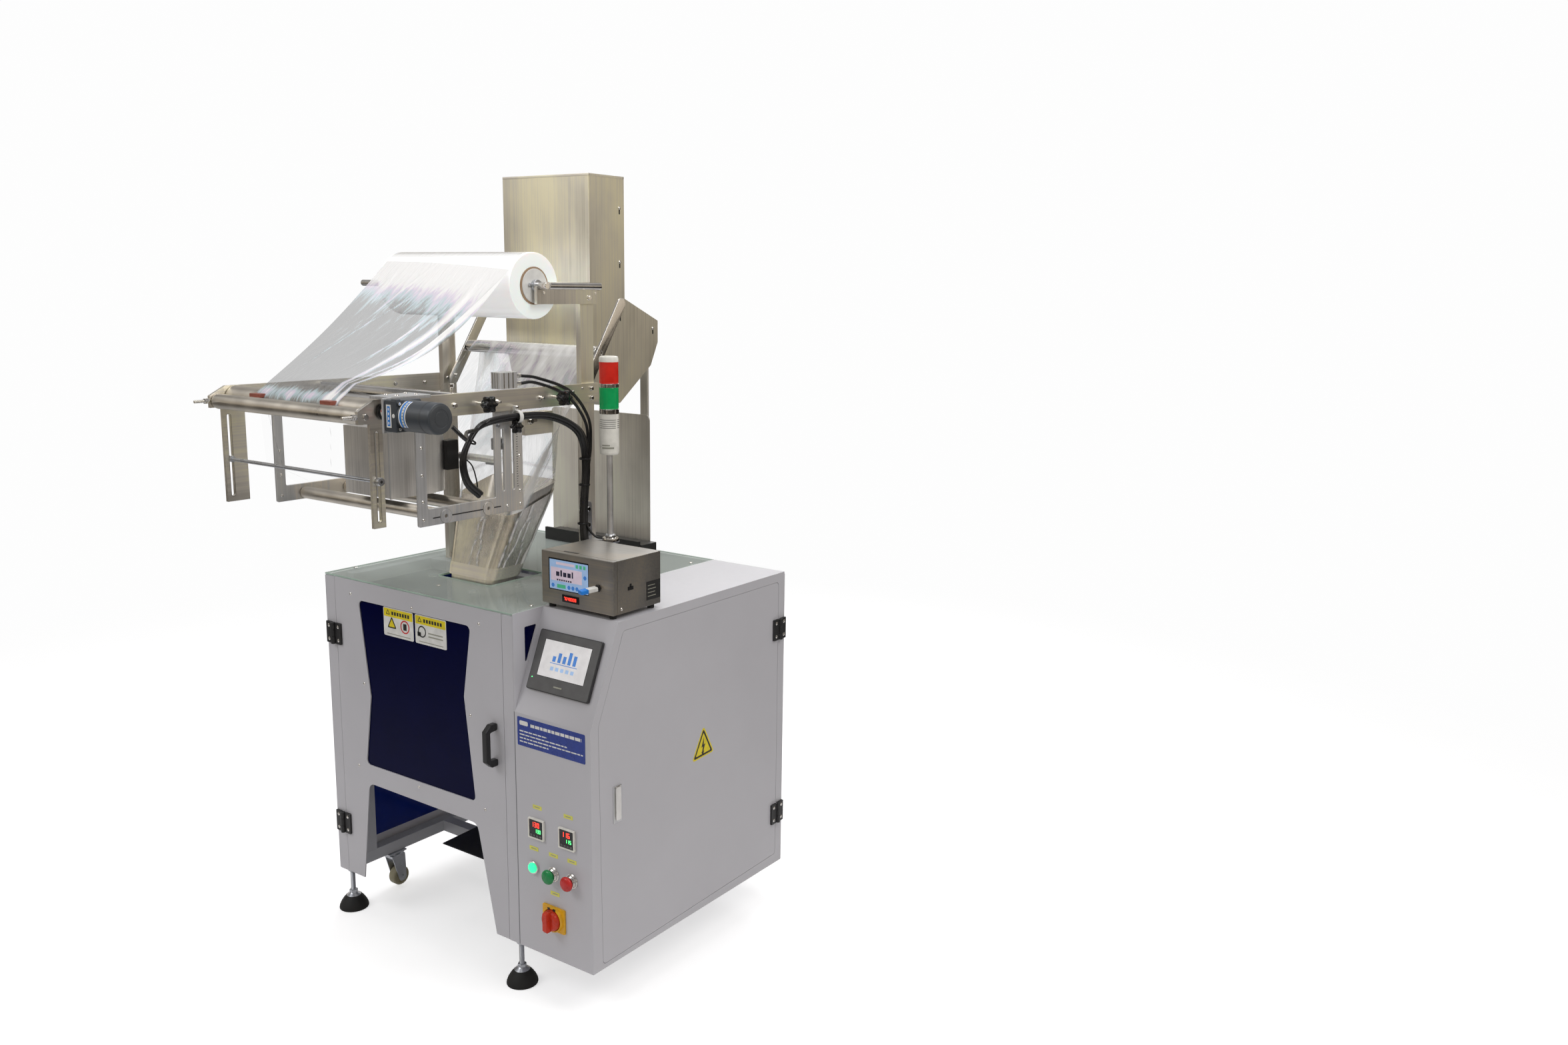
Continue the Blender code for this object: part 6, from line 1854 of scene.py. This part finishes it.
def film_pieces():
    drive = roller_station("drive_roller", 1)
    nip = roller_station("nip_roller", -1)
    idlers = [roller_station("idler_front", 1), roller_station("idler_rear", 1)]
    top = roller_station("top_roller", -1)
    film_from_roll(drive, nip)
    film_front_loop(nip, idlers)
    film_rise(idlers[1], top)
    shoulder(top)
    tubular_film()
    kit = Kit("tape")
    y = (drive[0] + nip[0]) / 2
    z = nip[1] + nip[2]
    for x in (0.222, 0.462):
        kit.add(block(about(x, 0.017), (y - 0.015, y + 0.010), (z - 0.0020, z + 0.0062), 0.0012))
    kit.finish("splice_tape", "machine")


def shoulder(top):
    """The film between the top roller and the former's mouth, which it enters round three sides."""
    rim = former_ring(MOUTH_Z, -0.0008, 0.40, 10)
    front = min(p.y for p in rim)
    left_side = [p for p in rim if p.x <= FORMER_X]
    right_side = [p for p in rim if p.x > FORMER_X]
    left_path = sorted(left_side, key=lambda p: (p.y, -p.x if p.y < front + 0.001 else p.x))
    right_path = sorted(right_side, key=lambda p: (p.y, p.x if p.y < front + 0.001 else -p.x))
    mouth = Web(left_path + right_path[::-1])

    def place(u, v):
        high = Vector((FILM_LEFT + FILM_WIDTH * u, top[0] + top[2] + 0.002, top[1] - 0.006))
        point = high.lerp(mouth.stretch(u)[0], v)
        crinkle = noise.noise(Vector((u * 6, v * 4, 11))) * 0.005
        crinkle += noise.noise(Vector((u * 16, v * 9, 4))) * 0.0010
        point.y += crinkle * math.sin(math.pi * v)
        return point

    # Painted highlights: a bright right edge and a fainter left one, a painted sheen near the top roller on
    # the right, patches and a band near the top, and glints along two creases. Here edge names the bright
    # edges.
    def painted_highlight(u, v):
        edge = 1.0 * gauss(u - 0.93, 0.035) * min(1.0, v * 2) + 0.55 * gauss(u - 0.06, 0.02)
        edge += 0.8 * gauss(u - 0.80, 0.20) * gauss(v - 0.05, 0.30)
        shine = max(0.0, noise.noise(Vector((u * 9 + v * 4, v * 7, 21))))
        band = 0.60 * gauss(v, 0.35) * max(0.0, 0.3 + noise.noise(Vector((u * 14, v * 4, 9))))
        crease_glint = 0.6 * gauss(u - 0.50 - 0.45 * v, 0.007) + 0.5 * gauss(v - 0.80 - 0.1 * u, 0.010)
        return min(1.0, 0.12 + edge + 0.55 * shine + band + crease_glint)

    film_grid("film_shoulder", 90, 70, place, painted_highlight, "film_shoulder")


def tubular_film():
    """The film wrapped round the collar, its two edges meeting at the front with a narrow gap."""
    heights = (0.9235, 1.0590)
    seam = 0.335

    def place(u, v):
        z = heights[0] + (heights[1] - heights[0]) * v
        ring_points = former_ring(z, -0.0016, 0.40 * v)
        front = min(p.y for p in ring_points)
        start = min(range(len(ring_points)), key=lambda i: (ring_points[i] - Vector((seam, front, z))).length)
        loop = ring_points[start:] + ring_points[:start]
        if loop[1].x < loop[0].x:
            loop = [loop[0]] + loop[1:][::-1]
        point, _ = Web(loop + [loop[0]]).stretch(0.008 + 0.984 * u)
        centre = Vector((FORMER_X, sum(p.y for p in ring_points) / len(ring_points), point.z))
        out = (point - centre).normalized()
        coarse = abs(noise.noise(Vector((u * 30, v * 3, 1))))
        fine = abs(noise.noise(Vector((u * 60, v * 10, 6))))
        return point + out * (0.0011 * coarse + 0.0007 * fine)

    # Painted highlights along a few upright lines on either side of the front seam, with faint patches
    # between them.
    lines = ((0.10, 0.05, 0.004, 0.9), (0.135, -0.04, 0.003, 0.7), (0.055, 0.02, 0.003, 0.8),
             (0.205, 0.03, 0.010, 1.0), (0.93, -0.03, 0.004, 0.8), (0.90, 0.02, 0.003, 0.6))

    def painted_highlight(u, v):
        shine = 0.0
        for centre, lean, width, strength in lines:
            line = centre + lean * (v - 0.5) - 0.004 * math.sin(14 * v + centre * 60)
            shine += strength * gauss(u - line, width)
        return min(1.0, 0.05 + shine + 0.4 * max(0.0, noise.noise(Vector((u * 26, v * 6, 31)))))

    film_grid("film_tube", 120, 30, place, painted_highlight, "film_former")


# Cabinet top --------------------------------------------------------------------------------------

def coder_box():
    low, high = local_box("coder_box")
    x, y = (low.x, high.x), (low.y, high.y)
    z = (0.8995, high.z)
    front_depth = 0.014
    kit = Kit("case_steel")
    kit.add(block(x, (y[0] + front_depth + 0.0008, y[1]), z, 0.0016))
    kit.add(block(x, (y[0], y[0] + front_depth), z, 0.0016))
    seam = (y[0] + front_depth - 0.001, y[0] + front_depth + 0.002)
    kit.paint("dark_steel").add(block(inset(x, 0.001), seam, inset(z, 0.001)))
    kit.paint("black")
    kit.add(block((x[0] + 0.052, x[0] + 0.094), (y[0] + 0.016, y[0] + 0.022), about(z[1], 0.0005), 0.0002))
    side = (x[1] - 0.0005, x[1] + 0.0006)
    kit.add(block(side, (y[0] + 0.046, y[0] + 0.064), (z[0] + 0.048, z[0] + 0.056), 0.0003))
    kit.add(block(side, (y[0] + 0.052, y[0] + 0.058), (z[0] + 0.054, z[0] + 0.062), 0.0003))
    kit.paint("rubber")
    for foot_x in (x[0] + 0.016, x[1] - 0.016):
        for foot_y in (y[0] + 0.016, y[1] - 0.016):
            kit.add(rod((foot_x, foot_y, 0.8893), (foot_x, foot_y, 0.9000), 0.0080))
    kit.paint("chrome").screw((x[1], y[0] + 0.026, z[0] + 0.011), "X", 0.0035, 0.0018)
    kit.paint("ink")
    kit.add(block((x[1] - 0.0002, x[1] + 0.0005), (y[1] - 0.048, y[1] - 0.002), (z[0] + 0.014, z[0] + 0.056),
                  0.0002))
    kit.paint("grey_ink")
    for i in range(4):
        bar_z = z[0] + 0.046 - i * 0.008
        kit.add(block((x[1] + 0.0003, x[1] + 0.0007), (y[1] - 0.044, y[1] - 0.020 + 0.003 * (i % 2)),
                      (bar_z, bar_z + 0.0015), 0.0001))
    kit.finish("coder_case", "machine", "brushed_stainless", ["coder_box"])
    coder_screen(x[0], y[0], z[0])


def coder_screen(left, face, low):
    """The coder's touch screen with plain blocks in place of its wording, its counter and a memory stick."""
    def layer(depth):
        """From just behind the case's face to a depth in front of it."""
        return face - depth, face + 0.001

    kit = Kit("gloss_black")
    u, v = (left + 0.025, left + 0.140), (low + 0.036, low + 0.102)
    rim = (u[0] - 0.003, u[1] + 0.001), (v[0] - 0.002, v[1] + 0.003)
    kit.add(panel("Y", layer(0.0004), *rim, 0.001, 0.0002))
    kit.paint("screen_pale_blue").add(block(u, layer(0.0007), v, 0.0002))
    kit.paint("screen_pink")
    kit.add(block((u[0] + 0.004, u[1] - 0.018), layer(0.0009), (v[0] + 0.019, v[1] - 0.017), 0.0002))
    kit.add(block((u[0] + 0.020, u[1] - 0.040), layer(0.0009), (v[1] - 0.0105, v[1] - 0.0045), 0.0002))
    kit.paint("screen_ink")
    for a, b, h in ((0.020, 0.030, 0.010), (0.033, 0.038, 0.014), (0.041, 0.051, 0.010),
                    (0.054, 0.064, 0.010), (0.067, 0.071, 0.014)):
        kit.add(block((u[0] + a, u[0] + b), layer(0.0011), (v[0] + 0.030, v[0] + 0.030 + h), 0.0002))
    for i in range(7):
        a = u[0] + i * 0.0066
        kit.add(block((a + 0.022, a + 0.0265), layer(0.0011), (v[0] + 0.020, v[0] + 0.0235), 0.0001))
    kit.paint("screen_green")
    for i in range(3):
        a = u[1] + i * 0.0110
        kit.add(block((a - 0.036, a - 0.0290), layer(0.0010), (v[1] - 0.0120, v[1] - 0.0040), 0.0004))
    kit.add(block((u[0] + 0.022, u[0] + 0.048), layer(0.0010), (v[0] + 0.0035, v[0] + 0.0120), 0.0004))
    kit.paint("screen_blue")
    for a, b in ((u[0] + 0.010, 0.008), (u[0] + 0.058, 0.008), (u[0] + 0.070, 0.008), (u[0] + 0.082, 0.008),
                 (u[1] - 0.009, 0.008), (u[1] - 0.009, 0.036)):
        kit.add(sheet_metal("Y", (face - 0.0010, face), [circle((a, v[0] + b), 0.0046, 20)], 0.0001))
    kit.paint("gloss_black")
    kit.add(block((left + 0.062, left + 0.112), layer(0.0012), (low + 0.010, low + 0.0265), 0.0006))
    kit.paint("red_led")
    digits("7640008", (left + 0.068, low + 0.0145), 0.0072, (face - 0.0015, face - 0.0010), kit)
    kit.paint("black")
    stick_x, stick_z = left + 0.1690, low + 0.056
    kit.add(turned([(0.0085, 0), (0.0085, 0.0025), (0.0060, 0.0035), (0.0060, 0.006), (0, 0.006)],
                   (stick_x, face, stick_z), "-Y", 6))
    direction = Vector((-0.35, -1, -0.10)).normalized()
    turn = Vector((0, -1, 0)).rotation_difference(direction).to_matrix().to_4x4()
    at = Matrix.Translation((stick_x, face - 0.005, stick_z)) @ turn
    kit.paint("white").add(block((-0.0085, 0.0085), (-0.0230, 0.0), (-0.0048, 0.0048), 0.0022), matrix=at)
    kit.paint("usb_blue")
    kit.add(block((-0.0088, 0.0088), (-0.0410, -0.0225), (-0.0051, 0.0051), 0.0028), matrix=at)
    kit.finish("coder_touch_screen", "machine")


def tower_light():
    """A slim lamp tower: cap, red and green lenses between bright rings, a white base with a fine grille."""
    x, y = 0.671, 0.300
    radius = 0.0223
    kit = Kit("lamp_white")
    kit.add(turned([(0, 1.4356), (0.0180, 1.4352), (0.0206, 1.4338), (0.0221, 1.4300), (radius, 1.4222),
                    (0, 1.4222)], (x, y, 0), "Z", 64))

    def lens(low, high):
        ribs = [(0, high), (radius - 0.0006, high), (radius, high - 0.001)]
        for i in range(11):
            step = (high - low) / 11.5
            ribs += [(radius, high - step * (i + 0.25)), (radius - 0.0006, high - step * (i + 0.75))]
        return turned(ribs + [(radius, low + 0.001), (radius - 0.0006, low), (0, low)], (x, y, 0), "Z", 64)

    kit.paint("lens_red").add(lens(1.3730, 1.4220))
    kit.paint("lens_green").add(lens(1.3150, 1.3640))
    kit.paint("chrome")
    kit.add(ring((x, y, 1.3642), (x, y, 1.3728), radius + 0.0001, 0.001, 64))
    kit.add(ring((x, y, 1.3040), (x, y, 1.3148), radius + 0.0001, 0.001, 64))
    base = [(0, 1.3038), (radius, 1.3038), (radius, 1.2160), (radius - 0.0010, 1.2120),
            (radius - 0.0030, 1.2100), (0.009, 1.2098), (0, 1.2098)]
    kit.paint("lamp_white").add(turned(base, (x, y, 0), "Z", 64))

    def wrapped(z0, z1, first, last):
        """A thin printed patch lying on the base between two heights and two angles in degrees."""
        steps = max(2, (last - first) // 5)
        angles = [math.radians(first + (last - first) * i / steps) for i in range(steps + 1)]
        grow = radius + 0.0001
        points = [(x + grow * math.cos(a), y + grow * math.sin(a)) for a in angles]
        kit.add(strip([[(*point, z) for z in (z0, z1)] for point in points]))

    kit.paint("ink")
    for row in range(5):
        for start in range(0, 360, 120):
            wrapped(1.2720 + row * 0.0046, 1.2731 + row * 0.0046, start + 6, start + 114)
    kit.paint("grey_ink")
    wrapped(1.2245, 1.2285, -95, -20)
    wrapped(1.2310, 1.2340, -95, -45)
    kit.paint("pole").add(rod((x, y, 1.0120), (x, y, 1.2100), 0.0072, 48))
    kit.paint("chrome")
    kit.add(turned([(0.0110, 1.0205), (0.0125, 1.0190), (0.0125, 1.0155), (0.0185, 1.0145), (0.0195, 1.0120),
                    (0.0195, 1.0068), (0, 1.0068), (0, 1.0205), (0.0110, 1.0205)], (x, y, 0), "Z", 48))
    kit.paint("zinc").add(rod((x, y, 1.0140), (x, y, 1.0220), 0.0125, 6, 0.0010))
    kit.add(block((0.5978, 0.6853), (0.2838, 0.3162), (1.0028, 1.0067), 0.0010))
    kit.add(panel("X", (0.5872, 0.5992), (0.2852, 0.3148), (1.0028, 1.0918), 0.009, 0.0010))
    kit.paint("chrome")
    for z in (1.036, 1.074):
        kit.hex_bolt((0.5991, 0.300, z), "X", 0.0058, 0.0045)
        kit.screw((0.5867, 0.288, z - 0.004), "X", 0.0040, 0.0030)
    kit.finish("signal_tower", "machine", "lamp_plastic", ["tower_light"])


# Hood and rear guard ------------------------------------------------------------------------------

def hood_details():
    """Screws with their keyholes, which are black shapes of painted shade, and the lip of the infeed hood."""
    face = 0.484
    kit = Kit("chrome")
    dark = Kit("ink")
    for y, z in ((0.548, 1.780), (0.548, 1.650), (0.548, 1.520), (0.672, 1.485)):
        kit.screw((face, y, z), "X", 0.0040, 0.0022)
        # Each keyhole is a black shape on the face: painted shade in place of an opening.
        keyhole = long_hole((y, z - 0.013), (y, z - 0.003), 0.0022, 5)
        dark.add(sheet_metal("X", (face - 0.0001, face + 0.0003), [keyhole], 0.0001))
        kit.screw((0.190, y, z), "-X", 0.0040, 0.0022)
    kit.finish("hood_screws", "machine", "bright_steel")
    dark.finish("hood_keyholes", "machine")
    kit = Kit("steel_x")
    for x, y in (((0.1898, 0.4842), (0.4394, 0.4430)), ((0.1898, 0.4842), (0.5620, 0.5656)),
                 ((0.4806, 0.4842), (0.4400, 0.5650)), ((0.1898, 0.1934), (0.4400, 0.5650))):
        kit.add(block(x, y, (1.8500, 1.8560), 0.0008))
    kit.finish("hood_lip", "machine", "brushed_stainless")


# Assembly -----------------------------------------------------------------------------------------

bpy.context.scene.view_settings.view_transform = "Standard"
MATERIALS = make_materials()
make_camera()
make_floor()
make_world()
make_lights()
dress_cabinet()
dress_rack()
lid_details()
door_details()
side_door_details()
control_details()
undercarriage()
rollers()
film_roll_details()
star_knob("front_star_knob", "knob_1", "knob_front", -0.024, BEARER_Z)
star_knob("rear_star_knob", "knob_2", "knob_rear", 0.198, BEARER_Z)
rack_hardware()
tall_slots()
l_frame_details()
coder_head_details()
sensor_channel()
arm_details()
drive_motor()
cable_loom()
former_pieces()
film_pieces()
coder_box()
tower_light()
hood_details()
